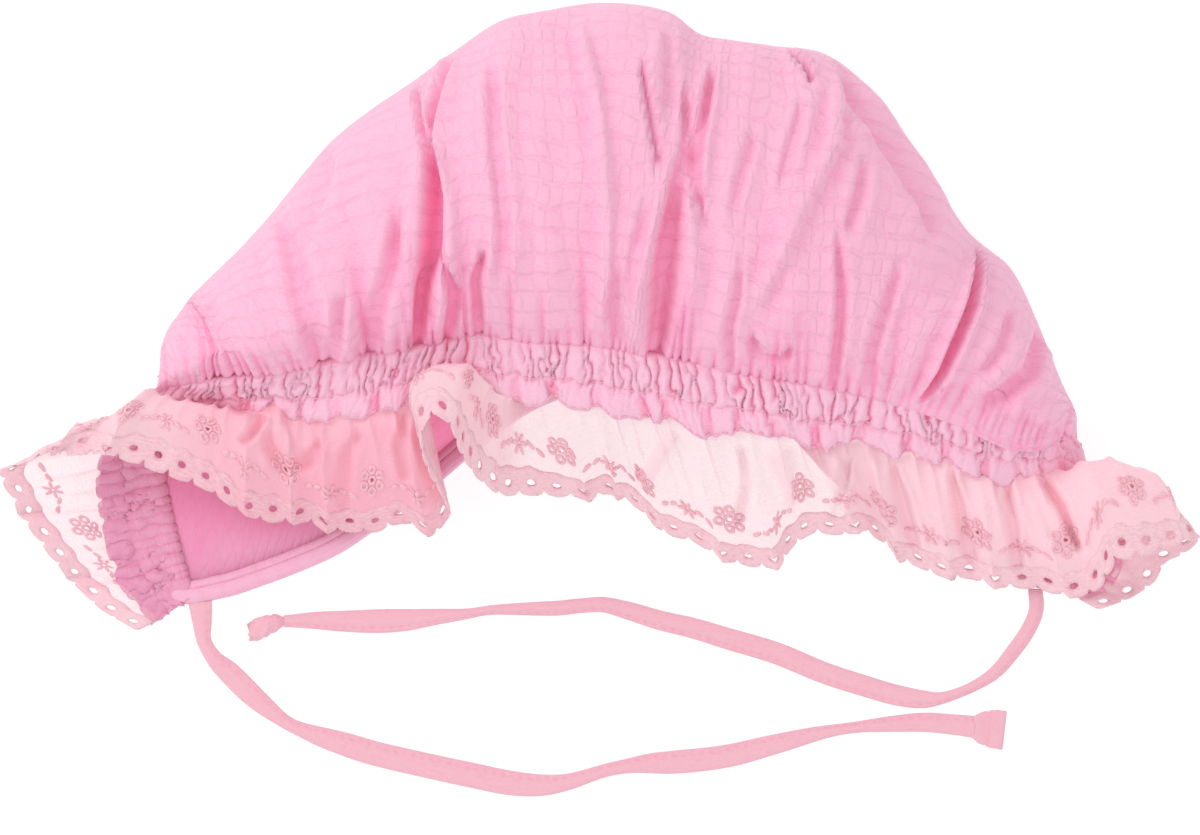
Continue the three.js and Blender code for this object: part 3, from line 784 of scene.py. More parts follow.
SATIN = ClothFinish(
    "satin_stitch", (0.87, 0.59, 0.65), (0.80, 0.35, 0.43),
    weave=0.3, weave_pitch=0.5, slub=0.34, painted_glow=0.1, sheen=0.3, roughness=0.75,
)
THREAD = ClothFinish("sewing_thread", (0.82, 0.42, 0.55), (0.75, 0.2, 0.32), weave=0.3, roughness=0.75)


def mesh_piece(
    name: str,
    points: np.ndarray,
    faces: np.ndarray,
    uv: np.ndarray,
    shades: dict,
    finish: ClothFinish,
) -> bpy.types.Object:
    """A smooth mesh of quads or triangles, placed in the frame.

    Args:
        name: the piece's name.
        points: its points in the hat's millimetres.
        faces: rows of point numbers, all of one length.
        uv: a place in millimetres of cloth for each point.
        shades: named values for each point.
        finish: its finish.

    Returns:
        The object.
    """
    corners = faces.shape[1]
    mesh = bpy.data.meshes.new(name)
    mesh.vertices.add(len(points))
    mesh.vertices.foreach_set("co", ((points + SHIFT) * MM).astype(np.float32).ravel())
    mesh.loops.add(faces.size)
    mesh.loops.foreach_set("vertex_index", faces.astype(np.int32).ravel())
    mesh.polygons.add(len(faces))
    mesh.polygons.foreach_set("loop_start", np.arange(0, faces.size, corners, dtype=np.int32))
    mesh.polygons.foreach_set("use_smooth", np.ones(len(faces), dtype=bool))
    mesh.update(calc_edges=True)
    layer = mesh.uv_layers.new(name="UVMap")
    layer.data.foreach_set("uv", uv[faces.ravel()].astype(np.float32).ravel())
    for shade, values in shades.items():
        attribute = mesh.attributes.new(shade, "FLOAT", "POINT")
        attribute.data.foreach_set("value", values.astype(np.float32).ravel())
    mesh.validate()
    made = bpy.data.objects.new(name, mesh)
    bpy.context.scene.collection.objects.link(made)
    mesh.materials.append(bpy.data.materials.get(finish.name) or finish.material())
    area = sum(face.area for face in mesh.polygons)
    LOG.info("%s: %d faces, %.4f square metres of face", name, len(mesh.polygons), area)
    return made


def grid_normals(grid: np.ndarray) -> np.ndarray:
    """Directions square to a grid of points, by its rows' direction crossed with its columns'."""
    return unit(np.cross(np.gradient(grid, axis=0), np.gradient(grid, axis=1)))


def close_sheet(faces: np.ndarray, count: int) -> np.ndarray:
    """Closes a sheet of faces with the same faces behind it and rims along every free edge.

    Args:
        faces: the sheet's faces, by point number.
        count: how many points lie on the sheet, and again behind it.

    Returns:
        All the faces, where a point behind has its front point's number plus count.
    """
    starts = faces.ravel().astype(np.int64)
    stops = np.roll(faces, -1, axis=1).ravel().astype(np.int64)
    free = ~np.isin(starts * count + stops, stops * count + starts)
    s, t = starts[free], stops[free]
    rims = np.stack((t, s, s + count, t + count), axis=1)
    return np.vstack((faces, faces[:, ::-1] + count, rims))


def cloth_shell(
    name: str,
    grid: np.ndarray,
    thickness: float,
    uv: np.ndarray,
    shades: dict,
    finish: ClothFinish,
    keep: np.ndarray = None,
) -> bpy.types.Object:
    """A closed cloth wall from a grid that is its outer face.

    Args:
        name: the piece's name.
        grid: rows and columns of points in millimetres.
        thickness: the wall's thickness.
        uv: places of cloth, with the grid's rows and columns.
        shades: named values, with the grid's rows and columns.
        finish: its finish.
        keep: which cells are cloth, where some are cut out.

    Returns:
        The object.
    """
    rows, columns = grid.shape[:2]
    back = grid - grid_normals(grid) * thickness
    lift = np.maximum(0, -np.minimum(grid[:, :, 2], back[:, :, 2]))[:, :, None] * (0, 0, 1)
    points = np.vstack(((grid + lift).reshape(-1, 3), (back + lift).reshape(-1, 3)))
    number = np.arange(rows * columns).reshape(rows, columns)
    held = np.ones((rows - 1, columns - 1), bool) if keep is None else keep
    corners = (number[:-1, :-1], number[1:, :-1], number[1:, 1:], number[:-1, 1:])
    faces = close_sheet(np.stack([corner[held] for corner in corners], axis=1), rows * columns)
    used = np.zeros(len(points), bool)
    used[faces.ravel()] = True
    renumber = np.cumsum(used) - 1
    twice = {key: np.tile(value.ravel(), 2)[used] for key, value in shades.items()}
    uv_all = np.vstack((uv.reshape(-1, 2), uv.reshape(-1, 2)))[used]
    return mesh_piece(name, points[used], renumber[faces], uv_all, twice, finish)


def joined(parts: list) -> tuple:
    """Joins small forms into one.

    Args:
        parts: the points, faces and places of cloth of each.

    Returns:
        All the points, faces and places of cloth.
    """
    points, faces, uv = zip(*parts)
    starts = np.cumsum([0, *(len(part) for part in points[:-1])])
    return np.vstack(points), np.vstack([part + start for part, start in zip(faces, starts)]), np.vstack(uv)


@dataclass
class Fold:
    """A fold of the crown or the ruffle, seen from above, where a depth below zero makes a ridge."""

    depth: float
    crease_shade: float
    path: tuple
    ridge: float = 0.25
    left: float = 1.0
    right: float = 1.0
    runs_out: bool = False

    def pull(self, x: np.ndarray, y: np.ndarray) -> tuple:
        """How far the fold pulls the cloth in, and how much shade is painted into it.

        Args:
            x: places across the hat.
            y: places up the hat.

        Returns:
            Depths in millimetres, and shares of painted shade.
        """
        nearest = np.full(x.shape, 1e9)
        soft = np.ones(x.shape)
        width = np.ones(x.shape)
        taper = np.ones(x.shape)
        rows = np.array(self.path, float)
        steps = np.linalg.norm(np.diff(rows[:, :2], axis=0), axis=1)
        lengths = arc_lengths(rows[:, :2])
        for k in range(len(rows) - 1):
            way = rows[k + 1, :2] - rows[k, :2]
            share = clamp01(((x - rows[k, 0]) * way[0] + (y - rows[k, 1]) * way[1]) / (way @ way))
            distance = np.hypot(x - rows[k, 0] - share * way[0], y - rows[k, 1] - share * way[1])
            closer = distance < nearest
            nearest = np.where(closer, distance, nearest)
            width = np.where(closer, rows[k, 2] + share * (rows[k + 1, 2] - rows[k, 2]), width)
            place = (lengths[k] + share * steps[k]) / lengths[-1]
            end = 1 if self.runs_out else 1 - smoothstep(0.85, 1, place)
            taper = np.where(closer, smoothstep(0, 0.14, place) * end, taper)
            turn = way[0] * (y - rows[k, 1]) - way[1] * (x - rows[k, 0])
            soft = np.where(closer, np.where(turn > 0, self.right, self.left), soft)
        off = nearest / width
        floor = 1 - smoothstep(0.35, 0.5 + 0.75 * soft, off)
        lips = np.exp(-((off - 1.3 - 0.6 * soft) ** 2) / (0.5 * soft))
        # Painted shade in the crease, narrower on its crisp side.
        fold_shade = 1 - smoothstep(0.55 / soft, 0.7 + 0.6 * soft, off)
        return self.depth * taper * (floor - self.ridge * lips), self.crease_shade * taper * fold_shade


# The crown's folds, left to right
# Columns: depth, share of painted shade in its crease, path, ridge beside it, softness at its left and at
# its right, and whether it runs on at its last point. Columns of a path: x, y, half width
CROWN_FOLDS = (
    Fold(2.6, 0.22, ((-106, 4, 4), (-100, -7, 5), (-94.5, -20, 4)), 0.1, 1.5, 1.5, True),
    Fold(3.2, 0.22, ((-82.7, 26, 2), (-78.3, 6.5, 3), (-72, -14, 2.4)), 0.25, 1.0, 2.5, True),
    Fold(2.4, 0.35, ((-66.6, 5, 1.2), (-68, -9, 1.4), (-70, -15, 1.6)), 0.25, 2.2, 1.0, True),
    Fold(2.0, 0.2, ((-70, 44, 2), (-74, 30, 2.6), (-77, 16, 2)), 0.25, 2.0, 1.2),
    Fold(3.0, 0.5,
         ((-52.3, 27, 0.8), (-53.4, 13, 1.6), (-56.5, 2, 2.1), (-60, -12, 2.4)), 0.25, 2.4, 1.0, True),
    Fold(2.6, 0.5, ((-48.5, 60, 0.7), (-46.6, 50, 0.9), (-44.8, 42, 1.0)), 0.3),
    Fold(3.2, 0.6, ((-38.5, 67, 0.8), (-42, 58, 1.0), (-43.6, 50, 0.9), (-44.2, 44, 0.8)), 0.3, 1.6, 1.0),
    Fold(8.0, 0.95,
         ((-44.6, 47, 0.8), (-43.6, 38, 1.7), (-43, 29, 2.6),
          (-43.6, 17, 3.0), (-45.5, 6, 2.4), (-47, -10, 1.7)),
         0.22, 1.0, 0.8, True),
    Fold(3.4, 0.9,
         ((-41, 15, 0.7), (-38.8, 7, 1.5), (-37.6, 3, 1.9), (-40, -10, 1.5)), 0.25, 1.0, 1.2, True),
    Fold(3.0, 0.65, ((-29.5, 17, 0.7), (-32.4, 8, 1.3), (-31.7, -9, 1.3)), 0.25, 1.0, 1.6, True),
    Fold(1.7, 0.22, ((-28.3, 67, 1.3), (-27.5, 44, 1.5), (-25, 22, 1.6), (-26.5, 6, 1.3)), 0.4, 1.0, 2.0),
    Fold(-1.8, 0.0, ((-6.5, 79, 1.5), (-1, 55, 2), (1.4, 30, 2.2), (1, 8, 2), (-2, -6, 2))),
    Fold(1.6, 0.28, ((4, 12, 1), (2.6, 2, 1.6), (4.5, -7, 1.4)), 0.25, 1.0, 2.0, True),
    Fold(1.5, 0.2, ((12, 28, 1), (9, 14, 1.6), (6.5, 2, 1.5)), 0.25, 2.0, 1.0),
    Fold(2.2, 0.5, ((10, 66, 0.7), (13, 50, 1.0), (14.4, 43, 1.0), (16.6, 37, 0.7)), 0.35, 1.0, 1.6),
    Fold(1.6, 0.18, ((17, 74, 1.2), (17.5, 64, 1.8), (18, 52, 1.6)), 0.3, 1.4, 1.4),
    Fold(2.8, 0.45,
         ((21.4, 60, 0.6), (22.4, 50, 1.3), (22, 41, 1.9), (19.6, 33, 2.2), (18, 26, 2)), 0.3, 1.0, 2.0),
    Fold(5.6, 0.55,
         ((19.6, 33, 1.2), (18.2, 25, 2.2), (16.6, 14, 3.0),
          (15.6, 6, 3.2), (14.8, -2, 2.8), (14, -12, 2.2)),
         0.3, 1.0, 1.7, True),
    Fold(3.0, 0.5,
         ((29.3, 66, 0.8), (27.4, 54, 1.2), (24.7, 42, 1.5),
          (24.6, 32, 1.3), (27.6, 23, 0.9)),
         0.3, 1.8, 1.0),
    Fold(2.6, 0.5, ((48.5, 69, 0.6), (52.5, 65, 0.9), (54.9, 60, 0.9)), 0.35),
    Fold(1.5, 0.16, ((52, 55, 1), (48.4, 42, 1.5), (45.8, 32, 1.3)), 0.3, 1.0, 2.0),
    Fold(1.4, 0.14, ((40, 47, 1), (36.5, 36, 1.4), (34, 26, 1.2)), 0.3, 2.0, 1.0),
    Fold(3.4, 0.4,
         ((61.5, 66, 1.0), (66, 55, 1.7), (75, 43, 1.9), (83, 29, 1.8), (86.5, 18, 1.4)), 0.3, 1.0, 2.6),
    Fold(-2.0, 0.0, ((61, 62, 1.6), (60, 44, 2.2), (51, 26.5, 2.6), (43, 9, 2.2), (38, 0, 1.8))),
    Fold(2.0, 0.25, ((68, 40, 1.2), (66.5, 30, 1.6), (63.5, 21, 1.4)), 0.3, 1.0, 2.0),
    Fold(2.6, 0.45,
         ((60.8, 21, 0.8), (61.9, 7.5, 1.3), (61.4, -4, 1.4), (59.6, -18, 1.3)), 0.3, 1.0, 1.8, True),
    Fold(1.8, 0.3, ((36, 14, 0.8), (35, 4, 1.3), (33, -4, 1.2), (33.5, -14, 1.1)), 0.3, 1.6, 1.0, True),
    Fold(2.4, 0.35, ((37.6, -5.6, 1.0), (41, -11.5, 1.5), (46.5, -13, 1.2), (50, -9, 0.9))),
    Fold(1.8, 0.25, ((78, 14, 1.0), (74, 2, 1.5), (70, -10, 1.4), (68.5, -20, 1.2)), 0.3, 1.8, 1.0, True),
    Fold(4.6, 1.0,
         ((97.8, 19, 0.5), (97.2, 9, 1.0), (95.8, 2.5, 1.3),
          (91.8, -7, 1.3), (88.2, -15, 1.1), (83, -22, 0.8)),
         0.45, 1.0, 1.0, True),
    Fold(1.8, 0.25, ((106, 2, 1.0), (103.5, -8, 1.5), (98, -16, 1.4)), 0.3, 1.0, 2.0),
    Fold(3.4, 0.5, ((115.8, -2, 1.4), (112, -15, 2.0), (103, -22.5, 2.2), (96, -25, 1.8)), 0.3, 2.2, 1.0),
)


@dataclass
class Crown:
    """The puffy double-gauze crown, with the folds and gathers that the elastic pulls into it."""

    cloth: float = 1.2
    sections: int = 640
    over_steps: int = 50
    under_steps: int = 24
    step_growth: float = 1.15
    pinch: float = 0.5
    drape: float = 1.1
    humps: float = 1.0
    puckers: float = 0.5
    rim_shade: float = 0.22
    shade_reach: int = 9
    cloth_width: float = 560
    flat: tuple = (0.46, 0.15)
    flat_area: float = 0.06
    folds: tuple = CROWN_FOLDS

    def build(self) -> bpy.types.Object:
        """The crown's cloth, over and under.

        Returns:
            The piece.
        """
        shares = np.linspace(0, 1, self.sections + 1)
        rows = shares * (len(CROWN) - 1)
        out = RowReader(CROWN, (1, 2, None)).at(rows)
        shape = RowReader(CROWN, (0, 3, 4)).at(rows)
        low = low_edge().at(shares)
        start = rim_at(shape[:, 0])
        outline = (len(RISING) + len(FALLING)) / (len(RISING) + len(FALLING) + len(UNDER) + 1)
        ups = np.linspace(0, 1, self.over_steps + 1) ** self.step_growth
        along = np.concatenate((ups * outline, np.linspace(outline, 1, self.under_steps + 1)[1:]))
        ends = zip(start, out, low, shape[:, 1], shape[:, 2])
        grid = np.array([self.section(*section).at(along) for section in ends])
        up = np.tile(along / outline, (len(grid), 1))
        length = np.tile(FACE_LENGTH.at(shape[:, 0])[:, None], (1, len(along)))
        reach = np.array([arc_lengths(line) for line in grid])
        grid, shade_and_tone = self.relief(grid, up, length, reach, shape[:, 2])
        grid[:, :, 2] = np.maximum(grid[:, :, 2], 0)
        uv = np.stack((np.tile(shares[:, None] * self.cloth_width, (1, len(along))), reach), axis=2)
        under = smoothstep(1.0, 1.1, up)
        # Painted shade on the lower layer, which lies inside the hat: stronger towards the nape.
        painted_inner_shade = 0.3 * under * (1 - 0.7 * smoothstep(-66, -50, grid[:, :, 1]))
        # Painted light: a pink glow on the lower layer under the ruffle's overhang at the left.
        painted_light = 0.28 * under * window(-62, -50, -30, 0, grid[:, :, 0])
        shades = {"shade_and_tone": shade_and_tone, "painted_inner_shade": painted_inner_shade, "plain": 0.7 * under, "painted_light": painted_light}
        made = cloth_shell("crown_gauze", grid, self.cloth, uv, shades, GAUZE)
        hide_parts("crown")
        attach(made, "root")
        return made

    @staticmethod
    def section(
        start: np.ndarray, out: np.ndarray, low: np.ndarray, height: float, puff: float
    ) -> SmoothLine:
        """One section: from the casing over the puff to the outline, then under to the lower edge.

        Args:
            start: where it leaves the casing.
            out: its outermost point.
            low: where it ends on the lower edge.
            height: the height of its puff.
            puff: how far it puffs out over the casing.

        Returns:
            The section's line.
        """
        way = out[:2] - start[:2]
        back = low[:2] - out[:2]
        reach = max(float(np.linalg.norm(way)), 1.0)
        points = [start]
        for k, (share, level) in enumerate(RISING):
            moved = share - (max(puff - 1, 0) / reach if k == 0 else 0)
            points.append([*(start[:2] + way * moved), start[2] + (height - start[2]) * level])
        for share, level in FALLING:
            points.append([*(start[:2] + way * share), height * level])
        for share, level in UNDER:
            points.append([*(out[:2] + back * share), height * level])
        points.append(low)
        return SmoothLine(np.array(points))

    def relief(
        self, grid: np.ndarray, up: np.ndarray, length: np.ndarray, reach: np.ndarray, puff: np.ndarray
    ) -> tuple:
        """Adds folds, gathers and puckers to the smooth crown, and paints shade into their creases and
        hollows.

        Args:
            grid: the smooth crown's points.
            up: shares of the way from casing to outline.
            length: millimetres along the casing below each point.
            reach: millimetres of cloth from the casing to each point.
            puff: how far each section puffs out over the casing.

        Returns:
            The points, and the share of painted shade at each.
        """
        normal = grid_normals(grid)
        if normal[len(grid) // 2, self.over_steps // 2, 2] < 0:
            normal = -normal
        x, y = grid[:, :, 0], grid[:, :, 1]
        over = 1 - smoothstep(0.94, 1.04, up)
        seen = np.hypot(x - x[:, :1], y - y[:, :1])
        rows = np.linspace(0, len(CROWN) - 1, len(grid))[:, None]
        ends = window(0.6, 3.0, 22.6, 24.8, rows)
        depth = np.zeros(up.shape)
        shade_and_tone = np.zeros(up.shape)
        # Each fold pulls the cloth in and paints shade into its crease.
        for crease in self.folds:
            pulled, crease_shade = crease.pull(x, y)
            depth += pulled * over * (0.3 + 0.7 * smoothstep(0, 7, seen))
            shade_and_tone = np.maximum(shade_and_tone, crease_shade * over)
        # The gathers drawn in from the casing, with painted shade in their valleys.
        drawn, crease_shade = CHANNEL.drawn(length, seen)
        depth += drawn * over * smoothstep(1.0, 4.0, rows)
        shade_and_tone = np.maximum(shade_and_tone, crease_shade * over * ends)
        drape = ripple(length + 2.5 * ripple(seen, 46, 1.1), 15, 7.7)
        depth += self.drape * drape * smoothstep(4, 20, seen) * (1 - 0.5 * up) * over
        depth += self.humps * drift(x, y, 24, 0.7) * smoothstep(8, 26, seen) * over
        crossed = np.abs(ripple(reach + 1.5 * ripple(x, 30, 2.0), 11.6, 3.0)) ** 0.6
        patches = 0.5 + 0.5 * ripple(x, 40, 9.0)
        depth += self.puckers * (1 - crossed) * smoothstep(10, 24, seen) * patches * over
        depth *= ends * (0.5 + 0.5 * smoothstep(0, 1.5, reach))
        # Painted shade in the hollows: where the relief lies deeper than its neighbours along the casing.
        nearby = range(-self.shade_reach, self.shade_reach + 1)
        around = sum(np.roll(depth, step, axis=0) for step in nearby) / len(nearby)
        shade_and_tone = np.maximum(shade_and_tone, 0.3 * clamp01((depth - around) / 1.1) * over)
        calm = 1 - smoothstep(1.1, 2.2, puff)[:, None]
        depth *= calm + (1 - calm) * smoothstep(3, 11, reach)
        depth += self.pinch * (1 - smoothstep(0, 3.0, reach)) * ends * calm
        # Painted shade along the groove where the crown meets the casing.
        shade_and_tone = np.maximum(shade_and_tone, self.rim_shade * (1 - smoothstep(0.5, 2.2, reach)) * over)
        under = smoothstep(0.99, 1.08, up)
        grid = grid - normal * (depth * (1 - under))[:, :, None]
        rise, shade = self.lower_layer(x, y)
        grid[:, :, 2] += rise * smoothstep(1.06, 1.3, up) * (1 - smoothstep(0.86, 1, up / up.max()))
        return grid, np.maximum(shade_and_tone, shade * under)

    @staticmethod
    def lower_layer(x: np.ndarray, y: np.ndarray) -> tuple:
        """The gathers that run from the casing into the lower layer, which shows inside the hat.

        Args:
            x: places across the hat.
            y: places up the hat.

        Returns:
            How far the cloth rises, and shares of painted shade.
        """
        line = TOP.at(np.linspace(0.5, 5.5, 60))
        away = np.min(np.hypot(x[..., None] - line[:, 0], y[..., None] - line[:, 1]), axis=-1)
        near = 1 - smoothstep(1, 24, away)
        ridge = gather_ridge(y + 0.35 * (x + 115), 8.0, 3.0)
        soft = 0.5 + 0.5 * drift(x, y, 26, 3.0)
        crease = np.abs(ripple(y + 0.45 * x, 27, 0.9)) ** 0.5
        rise = 1.1 * ridge * near + 1.4 * soft + 0.9 * crease
        # Painted shade inside the hat: deepest under the ruffle's overhang at the left, and in the gathers'
        # valleys and creases.
        inside = smoothstep(-64, -46, y) * (1 - smoothstep(-60, -40, x))
        shade = 0.42 + 0.5 * inside + 0.35 * (1 - ridge) * near + 0.1 * (1 - soft) + 0.15 * (1 - crease)
        return rise, shade


@dataclass
class Casing:
    """The elastic casing: a gathered channel between two rows of stitches, with a short frill below it."""

    cloth: float = 1.2
    stations: int = 1120
    across: int = 24
    flat: tuple = (0.45, 0.018)
    first_row: float = 0.05
    second_row: float = 0.55
    channel_puff: float = 2.5
    frill_puff: float = 1.9
    row_puff: float = 1.5
    top_lift: float = 0.75
    cloth_length: float = 2.2
    cloth_width: float = 17

    def build(self) -> bpy.types.Object:
        """The casing's cloth.

        Returns:
            The piece.
        """
        grid, width, length, shade_and_tone, painted_inner_shade = (values[:, ::-1] for values in self.surface())
        uv = np.stack((length * self.cloth_length, width * self.cloth_width), axis=2)
        made = cloth_shell("casing_gauze", grid, self.cloth, uv, {"shade_and_tone": shade_and_tone, "painted_inner_shade": painted_inner_shade}, CASING_GAUZE)
        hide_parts("elastic_casing")
        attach(made, "root")
        return made

    def surface(self) -> tuple:
        """The casing's outer face.

        Returns:
            Its points, the shares across, the lengths along, the shares of painted shade in its creases and
            of painted shade inside the hat.
        """
        lengths = np.linspace(0, FACE_LENGTH.lengths[-1], self.stations + 1)
        station = FACE_LENGTH.station(lengths)
        top, foot = TOP.at(station), FOOT.at(station)
        across_way = unit(foot - top)
        outwards = -unit(np.cross(along_at(TOP, station), across_way))
        width = np.tile(np.linspace(0, 1, self.across + 1), (self.stations + 1, 1))
        length = np.tile(lengths[:, None], (1, self.across + 1))
        bent = 1.6 * np.sin(width * 8 + ripple(length, 14, 2.0) * 3) * ripple(length, 9, 5.5)
        bent = bent + 0.7 * ripple(width * 17 + length, 5.0, 1.0)
        channel = CHANNEL.valley(length + bent * smoothstep(0, 0.2, width), 3.6 * width)
        frill = 1 - FRILL.tab(length + 0.3 * bent, 3.4 * (width - self.second_row))
        in_channel = window(-0.02, self.first_row + 0.04, self.second_row - 0.1, self.second_row, width)
        in_frill = smoothstep(self.second_row, self.second_row + 0.12, width)
        rows = (1 - in_channel) * (1 - in_frill)
        flat_foot = 1 - 0.6 * smoothstep(0.85, 1, width)
        climbs = window(4.4, 5.1, 6.0, 7.2, station)[:, None]
        climbs = np.maximum(climbs, 1 - smoothstep(2, 9, length))
        climbs = np.maximum(climbs, smoothstep(20.6, 21.8, station)[:, None])
        puffed = (1 - channel) * (1 - 0.75 * climbs)
        height = self.channel_puff * in_channel * puffed
        box = (1 - frill) * (0.8 + 0.2 * ripple(length, 19, 8.0))
        folded = self.frill_puff * box + (0.5 + 0.9 * frill) * (1 - channel)
        height += folded * in_frill * flat_foot * (1 - 0.6 * climbs)
        height += self.row_puff * puffed * rows * smoothstep(0.1, 0.3, width)
        height += self.top_lift * (1 - smoothstep(0.02, 0.16, width))
        down = smoothstep(0.1, 0.7, -outwards[:, 2:])
        offset = (height - 0.9) * (1 - down) - (0.3 + 0.9 * height) * down
        wander = (seam_wander(length) - 1.2 * frill * (1 - climbs)) * smoothstep(0.3, 1, width)
        wander = wander + 0.8 * ripple(length, 7, 3.0) * np.sin(math.pi * width)
        points = top[:, None] + (foot - top)[:, None] * width[:, :, None]
        points += across_way[:, None] * (wander - 1.6 * (1 - width) ** 6)[:, :, None]
        points += outwards[:, None] * offset[:, :, None]
        points[:, :, 2] = np.maximum(points[:, :, 2], 0.3)
        # Painted shade: deep in the channel's valleys and the frill's gaps, a little along the stitch rows,
        # and where the casing turns down under itself.
        shade_and_tone = 0.95 * smoothstep(0.3, 0.85, channel) * (1 - in_frill * (0.3 + 0.4 * box))
        shade_and_tone = np.maximum(shade_and_tone, (0.5 + 0.35 * ripple(length, 23, 4.4)) * frill**1.5 * in_frill)
        shade_and_tone = np.maximum(shade_and_tone, 0.18 * rows)
        shade_and_tone = np.maximum(shade_and_tone, (0.45 + 0.5 * channel) * down)
        left = 1 - smoothstep(4.5, 5.5, station)[:, None]
        # Painted shade inside the hat, on the turned-down casing at the left.
        painted_inner_shade = (0.25 + 0.3 * channel + 0.25 * width) * down * left
        return points, width, length, shade_and_tone, painted_inner_shade


@dataclass
class Hem:
    """The plain turned and stitched hem along the nape edge."""

    width: float = 4.5
    tucked: float = 1.5
    cloth: float = 1.5
    steps: int = 420
    across: int = 10
    gap: float = -0.4
    start: float = 0.02
    stop: float = 0.05
    stitch_row: float = 0.3
    stitch_width: float = 0.1

    def line(self, steps: int) -> tuple:
        """The crown's lower edge where the hem runs.

        Args:
            steps: how many steps run along it.

        Returns:
            Its points and the directions outwards.
        """
        first = len(LOW_LEFT_STATIONS) - 1 + self.start
        last = len(LOW_LEFT_STATIONS) + len(LOW_NAPE) - self.stop
        share = np.linspace(first, last, steps + 1) / (len(CROWN) - 1)
        edge = low_edge()
        here = edge.at(share)
        along = unit(edge.at(share + 0.001) - edge.at(share - 0.001))
        return here, np.stack((along[:, 1], -along[:, 0], np.zeros(len(along))), axis=1)

    def build(self) -> bpy.types.Object:
        """The hem's cloth.

        Returns:
            The piece.
        """
        edge, outwards = self.line(self.steps)
        shares = np.linspace(0, 1, self.across + 1)
        lengths = arc_lengths(edge)
        grid = edge[:, None] + outwards[:, None] * (self.gap + self.width * shares)[None, :, None]
        length = np.tile(lengths[:, None], (1, len(shares)))
        share = np.tile(shares, (len(edge), 1))
        stitched = np.exp(-(((share - self.stitch_row) / self.stitch_width) ** 2))
        rounded = np.sqrt(np.maximum(0, 1 - (2 * share - 1) ** 6))
        grid[:, :, 2] = self.cloth * (0.25 + 0.75 * rounded) - 0.4 * stitched
        grid[:, :, 2] += 0.15 * ripple(length, 5, 2.0)
        uv = np.stack((length, share * self.width), axis=2)
        # Painted shade in the sunk stitch row.
        shades = {"shade_and_tone": 0.5 * stitched}
        made = cloth_shell("nape_hem_gauze", grid, self.cloth * 0.7, uv, shades, HEM_GAUZE)
        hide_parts("nape_hem")
        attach(made, "root")
        return made


# The ruffle's own folds, with the same columns. Their second column is painted shade in the creases, but
# for the first fold, with no depth, which deepens the colour over the lobe at the left.
RUFFLE_FOLDS = (
    Fold(0.0, 0.55, ((-80, -41, 4), (-68, -42, 8), (-56, -40, 9), (-46, -39, 7)), 0, 2.0, 2.0, True),
    Fold(2.2, 0.3, ((-86.3, -25.5, 0.8), (-89.5, -30, 1.2), (-93.1, -34.1, 0.9)), 0.3, 2.4, 1.0),
    Fold(2.0, 0.25,
         ((-86.6, -28, 0.8), (-85.5, -34.3, 1.2), (-81.4, -39.3, 1.7),
          (-75.4, -37.2, 1.4), (-71.5, -31, 0.9)),
         0.3, 2.2, 1.2),
    Fold(2.0, 0.35, ((-62, -29, 0.8), (-66, -36, 1.4), (-68, -45, 1.6), (-67, -52, 1.0)), 0.3, 1.0, 2.2),
    Fold(2.0, 0.35, ((-50.5, -24, 0.8), (-52, -34, 1.3), (-50.5, -44, 1.3)), 0.3, 1.0, 2.0),
    Fold(-2.2, 0.2, ((19.2, -30, 2.2), (14, -38.5, 2.2), (9.5, -46.5, 1.6)), 0.2),
    Fold(2.2, 0.25, ((36, -33, 0.8), (37.5, -44, 1.3), (35, -56, 1.2)), 0.3, 1.0, 1.8),
    Fold(-2.2, 0.2, ((45.3, -34, 4.5), (48.6, -44.5, 2.0), (49, -52, 1.2)), 0.3),
    Fold(2.0, 0.15, ((64.5, -36, 0.8), (62.7, -45.5, 1.4), (60, -54, 1.2)), 0.3, 1.8, 0.5),
    Fold(3.0, 0.38, ((75, -37, 0.7), (78.5, -47, 1.4), (82.5, -62, 1.5)), 0.3, 2.6, 0.4),
    Fold(2.8, 0.34, ((90.2, -39, 0.7), (94, -51, 1.4), (97.5, -66, 1.4)), 0.3, 2.6, 0.4),
    Fold(2.8, 0.34, ((105, -43, 0.7), (107.3, -55, 1.4), (109, -68, 1.4)), 0.3, 2.6, 0.4),
    Fold(3.4, 0.6,
         ((113.6, -41.5, 0.8), (116.7, -46, 1.2), (119.6, -50, 1.3), (122.7, -58, 1.3), (125, -62, 0.9))),
)

# Where the voile lies alone over the white surface. Columns: first station, last station
SHEER_STATIONS = ((-1, 4.3), (11.9, 16.8))


